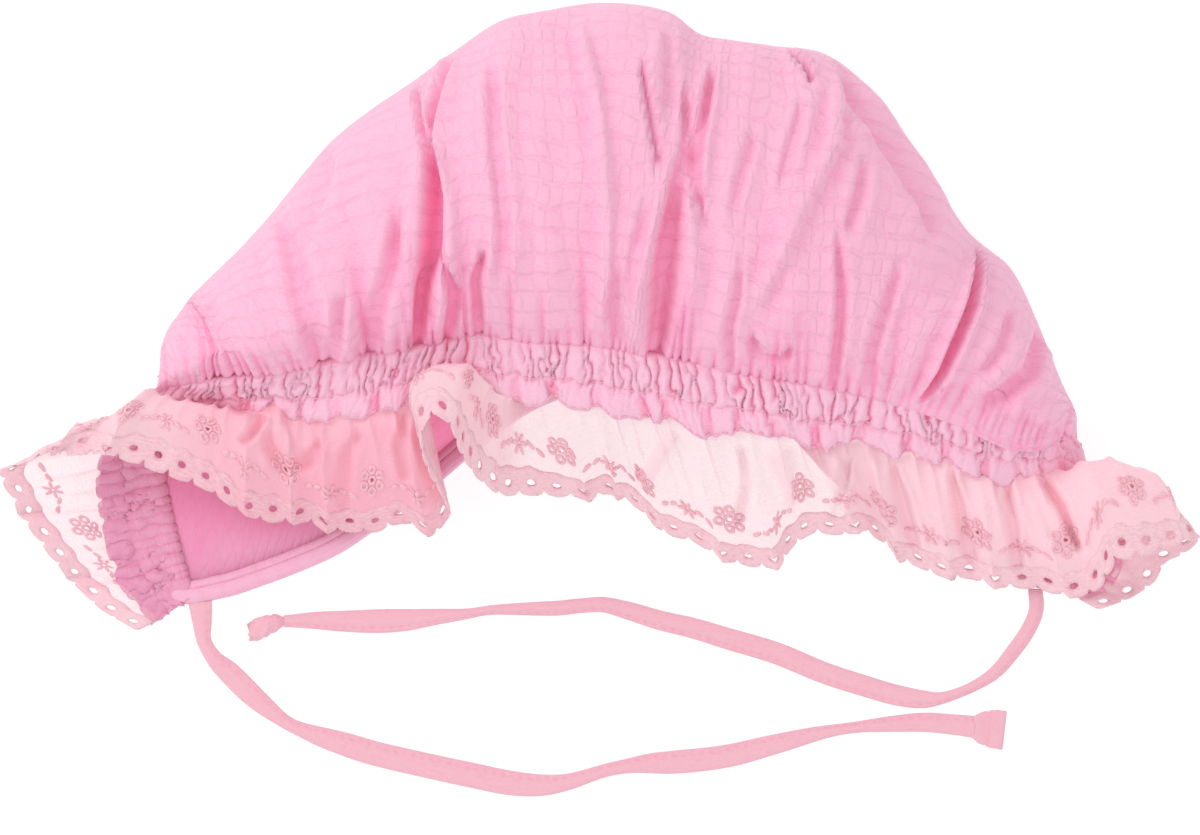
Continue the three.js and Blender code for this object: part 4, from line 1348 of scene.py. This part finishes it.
@dataclass
class Ruffle:
    """The gathered voile ruffle with its scalloped border, eyelets and embroidered flowers."""

    cloth: float = 0.35
    along: int = 760
    across: int = 50
    scallop: float = 7.0
    border: float = 4.8
    overlap: float = 1.0
    tip: float = 1.6
    eyelet: tuple = (1.2, 0.72)
    eyelet_in: float = 1.9
    repeat: float = 25.5
    flower_in: float = 12.5
    flower_hole: float = 0.75
    ring_circle: float = 3.0
    ring_radius: float = 1.0
    ring_height: float = 0.7
    star_in: float = 9.6
    star_circle: float = 1.5
    petals: int = 6
    gather: float = 5.2
    pleat: float = 1.9
    wave: float = 3.2
    sewn_in: float = 1.9
    rows_read: int = 1201
    columns_read: int = 81
    past_edge: float = 1.06
    lobe_pink: float = 0.85
    cell_sides: int = 48
    cell_rings: tuple = ((0, 0.3), (0.3, 0.5), (0.65, 0.45), (1, 0.3))
    band_back: float = -0.2

    def __post_init__(self) -> None:
        """Measures the border's line and the surface that everything on the ruffle follows."""
        self.edge = RowReader(RIBS, (1, 2, 3))
        self.bulge = RowReader(RIBS, (4, 5, 6), on_surface=False)
        dense = np.linspace(0, len(RIBS) - 1, 3001)
        lengths = arc_lengths(self.edge.at(dense))
        self.length = float(lengths[-1])
        self.cells = round(self.length / self.scallop)
        self.u = np.linspace(0, self.length, self.rows_read)
        self.w = np.linspace(0, self.past_edge, self.columns_read)
        ribs = np.interp(self.u, lengths, dense)
        self.stations = np.interp(ribs, np.arange(len(RIBS)), [row[0] for row in RIBS])
        self.sewn = FACE_LENGTH.at(self.stations)
        self.grid = self.surface(ribs, self.w)
        self.rib = np.linalg.norm(np.diff(self.grid[:, self.w <= 1.0], axis=1), axis=2).sum(axis=1)
        self.normal = grid_normals(self.grid[:, ::-1])[:, ::-1]

    def surface(self, ribs: np.ndarray, shares: np.ndarray) -> np.ndarray:
        """The cloth's middle surface, with the gathers near the casing.

        Args:
            ribs: rib numbers along it.
            shares: shares of the way from casing to border.

        Returns:
            Its points.
        """
        station, lengths = self.stations, self.sewn
        foot = FOOT.at(station)
        across = unit(foot - TOP.at(station))
        outwards = -unit(np.cross(along_at(FOOT, station), across))
        base = foot + across * (seam_wander(lengths) - self.sewn_in)[:, None] - outwards
        reach = self.edge.at(ribs) - base
        bulge = self.bulge.at(ribs) * BULGE_FILL
        grid = np.empty((len(ribs), len(shares), 3))
        for i in range(len(ribs)):
            bulging = (base[i] + reach[i] * share + bulge[i] for share in BULGE_SHARES)
            grid[i] = SmoothLine([base[i], *bulging, base[i] + reach[i]]).at(np.minimum(shares, 1))
            grid[i] += reach[i] * np.maximum(shares - 1, 0)[:, None]
        square = grid_normals(grid)
        square = np.where(np.abs(square).sum(axis=2, keepdims=True) > 0.1, square, outwards[:, None])
        fade = 1 - 0.85 * smoothstep(0.08, 0.8, shares)[None]
        start = smoothstep(0, 0.08, shares)[None]
        lean = 2.0 * ripple(lengths, 41, 3.0)[:, None] * shares[None]
        ridge = gather_ridge(lengths[:, None] + lean, self.gather, 1.0) - 0.5
        broad = gather_ridge(lengths[:, None] + 2 * lean, 17, 6.0) - 0.55
        spread = smoothstep(0.05, 0.5, shares)[None]
        grid += square * ((self.pleat * ridge * fade + self.wave * broad * spread) * start)[:, :, None]
        pulled = self.folded(grid)[0] * smoothstep(4.8, 5.4, station)[:, None]
        grid[:, :, 2] -= pulled * (1 - smoothstep(0.8, 1, shares))[None]
        grid[:, :, 2] = np.maximum(grid[:, :, 2], 0.5)
        return grid

    @staticmethod
    def folded(points: np.ndarray) -> tuple:
        """What the ruffle's own folds do.

        Args:
            points: rows and columns of points on the ruffle.

        Returns:
            How far each point is pulled down, and its share of painted shade.
        """
        depth = np.zeros(points.shape[:2])
        fold_shade = np.zeros(points.shape[:2])
        for crease in RUFFLE_FOLDS:
            pulled, crease_shade = crease.pull(points[:, :, 0], points[:, :, 1])
            depth += pulled
            fold_shade = np.maximum(fold_shade, crease_shade)
        return depth, fold_shade

    def station(self, u: np.ndarray) -> np.ndarray:
        """The station of the face edge from which the ruffle's cloth at u comes."""
        return np.interp(u, self.u, self.stations)

    def doubled(self, u: np.ndarray) -> np.ndarray:
        """How far the voile lies over pink cloth, and not alone over the white surface.

        Args:
            u: millimetres along the border.

        Returns:
            From 0 over the surface to 1 over cloth.
        """
        station = self.station(u)
        sheer = np.zeros(u.shape)
        for start, stop in SHEER_STATIONS:
            sheer = np.maximum(sheer, window(start - 0.4, start, stop, stop + 0.5, station))
        return 1 - sheer

    def lobe(self, u: np.ndarray) -> np.ndarray:
        """How much the ruffle takes on the pink right under it, on the lobe at the left."""
        return self.lobe_pink * window(6.3, 7.6, 9.9, 10.25, self.station(u))

    def place(self, u: np.ndarray, inwards: np.ndarray, lift: np.ndarray) -> np.ndarray:
        """Puts points of flat cloth on the ruffle.

        Args:
            u: millimetres along the border.
            inwards: millimetres from the border's line towards the casing.
            lift: millimetres off the cloth, outwards.

        Returns:
            The points.
        """
        row = clamp01(u / self.length) * (len(self.u) - 1)
        rib = np.interp(u, self.u, self.rib)
        column = np.clip((1 - inwards / rib) / self.w[-1], 0, 1) * (len(self.w) - 1)
        i = np.minimum(row.astype(int), len(self.u) - 2)
        j = np.minimum(column.astype(int), len(self.w) - 2)
        s, t = (row - i)[..., None], (column - j)[..., None]
        found = []
        for field_grid in (self.grid, self.normal):
            near = field_grid[i, j] * (1 - s) + field_grid[i + 1, j] * s
            far = field_grid[i, j + 1] * (1 - s) + field_grid[i + 1, j + 1] * s
            found.append(near * (1 - t) + far * t)
        return found[0] + unit(found[1]) * np.asarray(lift)[..., None]

    def flowers(self) -> np.ndarray:
        """Where the ring flowers' middles lie along the border."""
        return np.arange(self.repeat * 0.5, self.length - 4, self.repeat)

    def build(self) -> list:
        """The voile and the embroidery.

        Returns:
            Both pieces.
        """
        u = np.linspace(0, self.length, self.along + 1)
        rib = np.interp(u, self.u, self.rib)
        stop = 1 - (self.border - self.overlap) / rib
        share = np.linspace(0, 1, self.across + 1)[None] * stop[:, None]
        inwards = (1 - share) * rib[:, None]
        across_u = np.tile(u[:, None], (1, self.across + 1))
        grid = self.place(across_u, inwards, np.zeros(inwards.shape))
        middle_u, middle_in = (
            0.25 * (v[:-1, :-1] + v[1:, :-1] + v[1:, 1:] + v[:-1, 1:]) for v in (across_u, inwards)
        )
        keep = np.ones(middle_u.shape, bool)
        for centre in self.flowers():
            keep &= np.hypot(middle_u - centre, middle_in - self.flower_in) > self.flower_hole
        doubled = self.doubled(u)[:, None]
        solid = 0.45 * doubled + 0.4 * (1 - smoothstep(0, 0.12, share))
        # Painted shade in the ruffle's own folds.
        fold_shade = self.folded(grid)[1] * smoothstep(4.8, 5.4, self.station(u))[:, None]
        valley = 1 - gather_ridge(np.interp(u, self.u, self.sewn)[:, None], self.gather, 1.0)
        # Painted shade in the gathers' valleys near the seam; the gathered voile is also denser there.
        pleats = 0.4 * smoothstep(0.4, 1, valley) * (1 - smoothstep(0.2, 0.9, share))
        lobe = self.lobe(u)[:, None] * (0.8 + 0.2 * share)
        shade_and_tone = clamp01(np.maximum(pleats, fold_shade) + lobe)
        solid = solid + 0.4 * pleats + 0.8 * fold_shade + 0.3 * lobe
        uv = np.stack((across_u, inwards), axis=2)
        grid, uv, shade_and_tone, solid, keep = (values[:, ::-1] for values in (grid, uv, shade_and_tone, solid, keep))
        shades = {"shade_and_tone": shade_and_tone, "solid": solid}
        voile = cloth_shell("ruffle_voile", grid, self.cloth, uv, shades, VOILE, keep)
        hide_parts("lace_ruffle")
        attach(voile, "root")
        lace = self.embroidery()
        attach(lace, "root")
        return [voile, lace]

    def embroidery(self) -> bpy.types.Object:
        """The border's band, the rims of its eyelets, and the flowers, stars and leaves above it.

        Returns:
            The piece.
        """
        parts = [self.border_band()]
        ring = Motif.ring(1.0, 0.46)
        rim = Motif.ring(1.0, 0.22)
        petal = Motif.bead()
        width = self.length / self.cells
        rim_size = (self.eyelet[0] * 1.2, self.eyelet[1] * 1.25, 1.4)
        ring_size = (self.ring_radius, self.ring_radius, self.ring_height)
        turns = 2 * math.pi / self.petals * np.arange(self.petals)
        for k in range(self.cells):
            parts.append(rim.laid(self, (k + 0.5) * width, self.eyelet_in, 0, rim_size))
        for centre in self.flowers():
            parts.append(ring.laid(self, centre, self.flower_in, 0, ring_size))
            for angle in turns + 0.3:
                along = centre + self.ring_circle * math.cos(angle)
                inwards = self.flower_in + self.ring_circle * math.sin(angle)
                parts.append(ring.laid(self, along, inwards, 0, ring_size))
            for side in (-1, 1):
                for step in range(2):
                    where = (centre + side * (6.4 + 2.7 * step), self.flower_in - 3.6 + step)
                    parts.append(petal.laid(self, *where, side * 0.5, (1.25, 0.55, 0.35)))
            star = centre + self.repeat * 0.5
            if star < self.length - 6:
                for angle in turns:
                    along = star + self.star_circle * math.cos(angle)
                    inwards = self.star_in + self.star_circle * math.sin(angle)
                    parts.append(petal.laid(self, along, inwards, angle, (1.15, 0.45, 0.35)))
        points, faces, uv = joined(parts)
        band = np.arange(len(points)) < len(parts[0][0])
        tone = np.where(band, 0.12, 0.5) + 0.12 * ripple(uv[:, 0], 9, 1.0)
        shades = {"shade_and_tone": clamp01(tone + 0.45 * self.lobe(uv[:, 0]) * band)}
        return mesh_piece("ruffle_embroidery", points, faces, uv, shades, SATIN)

    def border_band(self) -> tuple:
        """The scalloped border as one band, with an eyelet cut through each scallop.

        Returns:
            Its points, faces and places of cloth.
        """
        sides = self.cell_sides
        width = self.length / self.cells
        turns = np.arange(sides) / sides * 2 * math.pi
        wide, tall = np.cos(turns), np.sin(turns)
        square = np.maximum(np.abs(wide), np.abs(tall))
        across, high = wide / square, tall / square
        bottom = -self.tip * np.sqrt(np.maximum(0, 1 - across**2)) + 0.25
        top = self.border + 0.35 * np.cos(across * math.pi)
        outer_in = np.where(high < 0, bottom + (self.eyelet_in - bottom) * (1 + high), 0)
        outer_in = np.where(high >= 0, self.eyelet_in + (top - self.eyelet_in) * high, outer_in)
        outer = np.stack((across * width / 2, outer_in), axis=1)
        hole = np.stack((self.eyelet[0] * wide, self.eyelet_in + self.eyelet[1] * tall), axis=1)
        places, levels = zip(*self.cell_rings)
        cell = np.vstack([hole + (outer - hole) * place for place in places])
        high_cell = np.repeat(levels, sides) * (1 - 0.8 * smoothstep(3.4, 4.6, cell[:, 1]))
        k = np.arange(sides)
        ring = np.stack((k, (k + 1) % sides, (k + 1) % sides + sides, k + sides), axis=1)
        cell_faces = np.vstack([ring + row * sides for row in range(len(places) - 1)])
        middles = (np.arange(self.cells) + 0.5) * width
        flat = (cell[None] + np.stack((middles, np.zeros(self.cells)), axis=1)[:, None]).reshape(-1, 2)
        faces = (cell_faces[None] + np.arange(self.cells)[:, None, None] * len(cell)).reshape(-1, 4)
        _, kept, welded = np.unique(np.round(flat, 3), axis=0, return_index=True, return_inverse=True)
        flat, heights = flat[kept], np.tile(high_cell, self.cells)[kept]
        faces = welded.ravel()[faces]
        stitch = 0.07 * np.sin(flat[:, 0] * 2 * math.pi / 1.1)
        stitch += 0.08 * ripple(flat[:, 0] + 2 * flat[:, 1], 2.3, 1.0)
        upper = self.place(flat[:, 0], flat[:, 1], heights + stitch)
        lower = self.place(flat[:, 0], flat[:, 1], np.full(len(flat), self.band_back))
        return np.vstack((upper, lower)), close_sheet(faces, len(flat)), np.vstack((flat, flat))


@dataclass
class Motif:
    """A small embroidered form, modelled once flat and then laid on the ruffle wherever it repeats."""

    points: np.ndarray
    faces: np.ndarray

    @staticmethod
    def from_active() -> "Motif":
        """Takes the form that has just been added, and removes its object.

        Returns:
            The form.
        """
        made = bpy.context.active_object
        bpy.ops.object.mode_set(mode="EDIT")
        bpy.ops.mesh.select_all(action="SELECT")
        bpy.ops.mesh.normals_make_consistent(inside=False)
        bpy.ops.object.mode_set(mode="OBJECT")
        points = np.array([v.co for v in made.data.vertices])
        faces = [list(p.vertices) for p in made.data.polygons]
        faces = np.array([f if len(f) == 4 else [*f, f[-1]] for f in faces])
        mesh = made.data
        bpy.data.objects.remove(made)
        bpy.data.meshes.remove(mesh)
        return Motif(points, faces)

    @staticmethod
    def ring(radius: float, cord: float) -> "Motif":
        """A buttonhole-stitched ring.

        Args:
            radius: its middle radius.
            cord: the radius of its cord.

        Returns:
            The form.
        """
        bpy.ops.object.select_all(action="DESELECT")
        bpy.ops.mesh.primitive_torus_add(
            major_segments=16, minor_segments=6, major_radius=radius, minor_radius=cord
        )
        return Motif.from_active()

    @staticmethod
    def bead() -> "Motif":
        """A rounded bead of quads, which becomes a satin-stitched petal or a single stitch.

        Returns:
            The form, from -1 to 1 on each axis.
        """
        bpy.ops.object.select_all(action="DESELECT")
        bpy.ops.mesh.primitive_cube_add(size=2)
        bpy.ops.object.mode_set(mode="EDIT")
        bpy.ops.mesh.select_all(action="SELECT")
        bpy.ops.mesh.subdivide(number_cuts=2)
        bpy.ops.transform.tosphere(value=1.0)
        bpy.ops.object.mode_set(mode="OBJECT")
        made = Motif.from_active()
        made.points /= np.abs(made.points).max()
        return made

    def laid(self, ruffle: Ruffle, u: float, inwards: float, turn: float, size: tuple) -> tuple:
        """The form laid on the ruffle.

        Args:
            ruffle: the ruffle that it lies on.
            u: millimetres along the border.
            inwards: millimetres from the border's line.
            turn: how far it is turned.
            size: its half length, half width and half height.

        Returns:
            Its points, faces and places of cloth.
        """
        x, y = self.points[:, 0] * size[0], self.points[:, 1] * size[1]
        along = u + x * math.cos(turn) - y * math.sin(turn)
        across = inwards + x * math.sin(turn) + y * math.cos(turn)
        points = ruffle.place(along, across, self.points[:, 2] * size[2] + 0.12)
        return points, self.faces, np.stack((along, across), axis=1)


def close_ends(points: np.ndarray, number: np.ndarray) -> tuple:
    """Closes a tube's two ends with a middle point and a fan of quads.

    Args:
        points: the tube's rings of points.
        number: their numbers.

    Returns:
        The two middle points, and the faces.
    """
    total = number.size
    middles = np.array([points[0].mean(axis=0), points[-1].mean(axis=0)])
    count = number.shape[1]
    faces = []
    for k in range(0, count, 2):
        a, b, c = (number[0, (k + step) % count] for step in range(3))
        faces.append((total, c, b, a))
        a, b, c = (number[-1, (k + step) % count] for step in range(3))
        faces.append((total + 1, a, b, c))
    return middles, np.array(faces)


def tube_piece(name: str, rings: np.ndarray, uv: np.ndarray, shade_and_tone: np.ndarray) -> bpy.types.Object:
    """A closed tube of the ties' cloth.

    Args:
        name: the piece's name.
        rings: rings of points in the hat's millimetres, one after another.
        uv: a place in millimetres of cloth for each point.
        shade_and_tone: the share of painted shade at each point.

    Returns:
        The object.
    """
    number = np.arange(rings.shape[0] * rings.shape[1]).reshape(rings.shape[:2])
    after = np.roll(number, -1, axis=1)
    walls = np.stack((number[:-1], after[:-1], after[1:], number[1:]), axis=2).reshape(-1, 4)
    middles, caps = close_ends(rings, number)
    points = np.vstack((rings.reshape(-1, 3), middles))
    places = uv.reshape(-1, 2)
    places = np.vstack((places, places[:1], places[-1:]))
    shades = {"shade_and_tone": np.append(shade_and_tone, (0, 0))}
    return mesh_piece(name, points, np.vstack((walls, caps)), places, shades, TIE_GAUZE)


@dataclass
class Tie:
    """A narrow folded and stitched tie, which turns and creases as it lies on the surface."""

    name: str
    route: tuple
    widths: tuple
    far_end: str
    width: float = 6.5
    thickness: float = 1.5
    steps: int = 420
    sides: int = 22
    path_points: int = 160
    seam_place: float = 0.62
    seam_width: float = 0.13
    stitch_length: float = 2.4

    def path(self) -> list:
        """The tie's middle line, in metres."""
        line = SmoothLine([(x, y, self.thickness / 2) for x, y in self.route])
        return ((line.at(np.linspace(0, 1, self.path_points)) + SHIFT) * MM).tolist()

    def build(self, end: bpy.types.Object) -> bpy.types.Object:
        """The tie's cloth, up to its free end.

        Args:
            end: the piece at its free end; not used.

        Returns:
            The tie.
        """
        share = np.linspace(0, 1, self.steps + 1)
        middle = SmoothLine([(x, y, 0) for x, y in self.route]).at(share)
        heading = unit(np.gradient(middle, axis=0))
        aside = np.stack((-heading[:, 1], heading[:, 0], np.zeros(len(heading))), axis=1)
        lengths = arc_lengths(middle)
        wide = np.interp(share, *zip(*self.widths))
        wide = np.convolve(np.pad(wide, 12, mode="edge"), np.ones(25) / 25, mode="valid")
        thick = self.thickness * (1 + 0.7 * (1 - wide / self.width))
        angle = np.arange(self.sides) / self.sides * 2 * math.pi
        flat = squarer(np.cos(angle), 0.7)
        tall = squarer(np.sin(angle), 0.8)
        seam = np.exp(-(((flat - self.seam_place) / self.seam_width) ** 2)) * (np.sin(angle) > 0)
        crease = ripple(lengths, 13, 1.7)[:, None] * flat[None] * 0.18
        up = thick[:, None] / 2 * (1 + tall[None]) + (crease * (tall > 0)[None]) - 0.35 * seam[None]
        points = middle[:, None] + aside[:, None] * (flat[None] * wide[:, None] / 2)[:, :, None]
        points[:, :, 2] += np.maximum(up, 0.02)
        uv = np.stack(np.broadcast_arrays(lengths[:, None], angle[None] * 2), axis=2)
        stitched = 0.5 + 0.5 * np.sin(lengths * 2 * math.pi / self.stitch_length)
        # The sunk seam is darker stitch by stitch: the stitches' own marks, with painted shade in the seam.
        made = tube_piece(f"{self.name}_cloth", points, uv, 0.6 * seam[None] * stitched[:, None])
        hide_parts(self.name)
        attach(made, "root")
        self.path()
        return made


@dataclass
class TieEnd:
    """The free end of a tie: a folded tab or a pinched knot."""

    node: str
    route: tuple
    length: float
    width: float
    thickness: float
    rings: tuple
    lumps: float
    square: float
    tucked: float = 0.6
    frayed: float = 0.0
    leans: float = 0.0
    steps: int = 40
    sides: int = 28

    def build(self) -> bpy.types.Object:
        """The end as a closed, creased form.

        Returns:
            The piece.
        """
        end, before = np.array(self.route[-1]), np.array(self.route[-2])
        heading = unit(end - before)
        aside = np.array([-heading[1], heading[0]])
        share = np.linspace(0, 1, self.steps + 1)
        places, widths, heights = zip(*self.rings)
        wide = np.interp(share, places, widths) * self.width / 2
        tall = np.interp(share, places, heights) * self.thickness / 2
        angle = np.arange(self.sides) / self.sides * 2 * math.pi
        across = squarer(np.cos(angle), self.square)
        high = squarer(np.sin(angle), self.square)
        uneven = ripple(share[:, None] * 14 + angle[None] * 2, 5.0, 2.0)
        lump = 1 + self.lumps * uneven * np.sin(math.pi * share)[:, None]
        x = across[None] * wide[:, None] * lump
        z = tall[:, None] * (1 + high[None] * lump)
        along = end[None] + heading[None] * (share * (self.length + self.tucked) - self.tucked)[:, None]
        threads = self.frayed * (ripple(angle, 0.7, 2.0) - 1)
        points = np.empty((self.steps + 1, self.sides, 3))
        points[:, :, :2] = along[:, None] + aside[None, None] * x[:, :, None]
        frays = threads[None] * smoothstep(0.75, 1, share)[:, None]
        frays += self.frayed * smoothstep(0.6, 1, share)[:, None]
        points[:, :, :2] += heading * frays[:, :, None]
        points[:, :, :2] += aside * (self.leans * self.length * share**1.6)[:, None, None]
        points[:, :, 2] = np.maximum(z, 0.02)
        uv = np.stack((points[:, :, 0], points[:, :, 1] + points[:, :, 2]), axis=2)
        # Painted shade in the hollows between the lumps.
        made = tube_piece(f"{self.node}_cloth", points, uv, np.clip(0.8 * (1 - lump), 0, 0.6))
        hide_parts(self.node)
        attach(made, "root")
        return made


@dataclass
class Stitches:
    """Rows of single sewing stitches along the casing and the hem."""

    length: float = 1.7
    spacing: float = 2.6
    thread: float = 0.24
    lift: float = 0.12
    casing_columns: tuple = (13, 23)
    hem_steps: int = 500

    def build(self, casing: Casing, hem: Hem) -> bpy.types.Object:
        """All the rows as one piece of small separate stitches.

        Args:
            casing: the casing that two rows run along.
            hem: the hem that one row runs along.

        Returns:
            The piece.
        """
        grid = casing.surface()[0]
        normal = -grid_normals(grid)
        stitches = []
        for column in self.casing_columns:
            stitches += self.row(grid[:, column], normal[:, column])
        edge, outwards = hem.line(self.hem_steps)
        line = edge + outwards * (hem.gap + hem.stitch_row * hem.width)
        line[:, 2] = hem.cloth - 0.15
        stitches += self.row(line, np.tile([0.0, 0.0, 1.0], (len(line), 1)))
        bead = Motif.bead()
        local = bead.points * (self.length / 2, self.thread, self.thread)
        parts = []
        for k, (middle, way, up) in enumerate(stitches):
            side = unit(np.cross(up, way))
            placed = middle + local[:, :1] * way + local[:, 1:2] * side + local[:, 2:] * up
            parts.append((placed, bead.faces, local[:, :2] + k))
        points, faces, uv = joined(parts)
        made = mesh_piece("sewing_stitches", points, faces, uv, {"shade_and_tone": np.zeros(len(points))}, THREAD)
        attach(made, "root")
        return made

    def row(self, line: np.ndarray, up: np.ndarray) -> list:
        """One row of stitches.

        Args:
            line: the row's points.
            up: the cloth's outward direction at each.

        Returns:
            For each stitch its middle, direction and outward direction.
        """
        lengths = arc_lengths(line)
        found = []
        for place in np.arange(self.spacing, lengths[-1] - self.spacing, self.spacing):
            start, stop = (
                np.array([np.interp(place + step, lengths, line[:, axis]) for axis in range(3)])
                for step in (-self.length / 2, self.length / 2)
            )
            k = int(np.searchsorted(lengths, place))
            found.append((0.5 * (start + stop) + up[k] * self.lift, unit(stop - start), unit(up[k])))
        return found


@dataclass
class Studio:
    """The white surface, the soft light and the camera straight above."""

    lens: float = 577.0
    sensor: float = 36
    clip_end: float = 20
    distance: float = 5.0
    look_at: tuple = (-0.16, -25.97)
    floor_size: float = 3.0
    floor_drop: float = 0.0004
    floor_shade: float = 0.3
    floor_glow: float = 0.8
    room_light: float = 0.83
    lamps: tuple = (("soft_key", (-0.9, 0.6, 1.0), 7.0, 0.8), ("soft_fill", (0.5, -1.0, 1.2), 3.0, 1.2))

    def camera(self) -> None:
        """Hangs the camera over the photograph's middle."""
        data = bpy.data.cameras.new("photo_camera")
        data.lens = self.lens
        data.sensor_width = self.sensor
        data.clip_end = self.clip_end
        made = bpy.data.objects.new("photo_camera", data)
        made.location = (self.look_at[0] * MM, self.look_at[1] * MM, self.distance)
        bpy.context.scene.collection.objects.link(made)
        bpy.context.scene.camera = made

    def light(self) -> None:
        """Sets a white world, two soft lamps and the white floor."""
        scene = bpy.context.scene
        scene.view_settings.view_transform = "Standard"
        world = bpy.data.worlds.new("white_room")
        world.use_nodes = True
        background = world.node_tree.nodes["Background"]
        background.inputs["Color"].default_value = (1, 1, 1, 1)
        background.inputs["Strength"].default_value = self.room_light
        scene.world = world
        for name, place, power, size in self.lamps:
            lamp = bpy.data.lights.new(name, "AREA")
            lamp.energy = power
            lamp.size = size
            made = bpy.data.objects.new(name, lamp)
            made.location = place
            x, y, z = place
            made.rotation_euler = (math.atan2(math.hypot(x, y), z), 0, math.atan2(x, -y))
            scene.collection.objects.link(made)

    def floor(self) -> None:
        """Lays the white surface under the hat."""
        bpy.ops.object.select_all(action="DESELECT")
        bpy.ops.mesh.primitive_plane_add(size=self.floor_size, location=(0, 0, -self.floor_drop))
        made = bpy.context.active_object
        made.name = "white_surface"
        paper = bpy.data.materials.new("white_surface")
        paper.use_nodes = True
        inputs = {
            "Base Color": (*[self.floor_shade] * 3, 1),
            "Roughness": 1,
            "Specular IOR Level": 0,
            "Emission Color": (1, 1, 1, 1),
            "Emission Strength": self.floor_glow,
        }
        Wiring(paper.node_tree).feed(paper.node_tree.nodes["Principled BSDF"], inputs)
        made.data.materials.append(paper)


def main() -> None:
    """Builds the hat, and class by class."""
    logging.basicConfig(level=logging.INFO, format="%(name)s %(message)s")
    studio = Studio()
    studio.camera()
    tab = TieEnd("left_tie_end", LEFT_TIE, 7.8, 10.2, 1.9, TAB_RINGS, 0.04, 0.35)
    knot = TieEnd("right_tie_end", RIGHT_TIE, 9, 6.4, 4, KNOT_RINGS, 0.16, 0.8, frayed=0.8, leans=0.3)
    free_ends = [end.build() for end in (tab, knot)]
    Tie("left_tie", LEFT_TIE, LEFT_WIDTHS, "fitting").build(free_ends[0])
    Tie("right_tie", RIGHT_TIE, RIGHT_WIDTHS, "knot").build(free_ends[1])
    Crown().build()
    casing = Casing()
    casing.build()
    hem = Hem()
    hem.build()
    Ruffle().build()
    Stitches().build(casing, hem)
    studio.light()
    studio.floor()


if __name__ == "__main__":
    main()
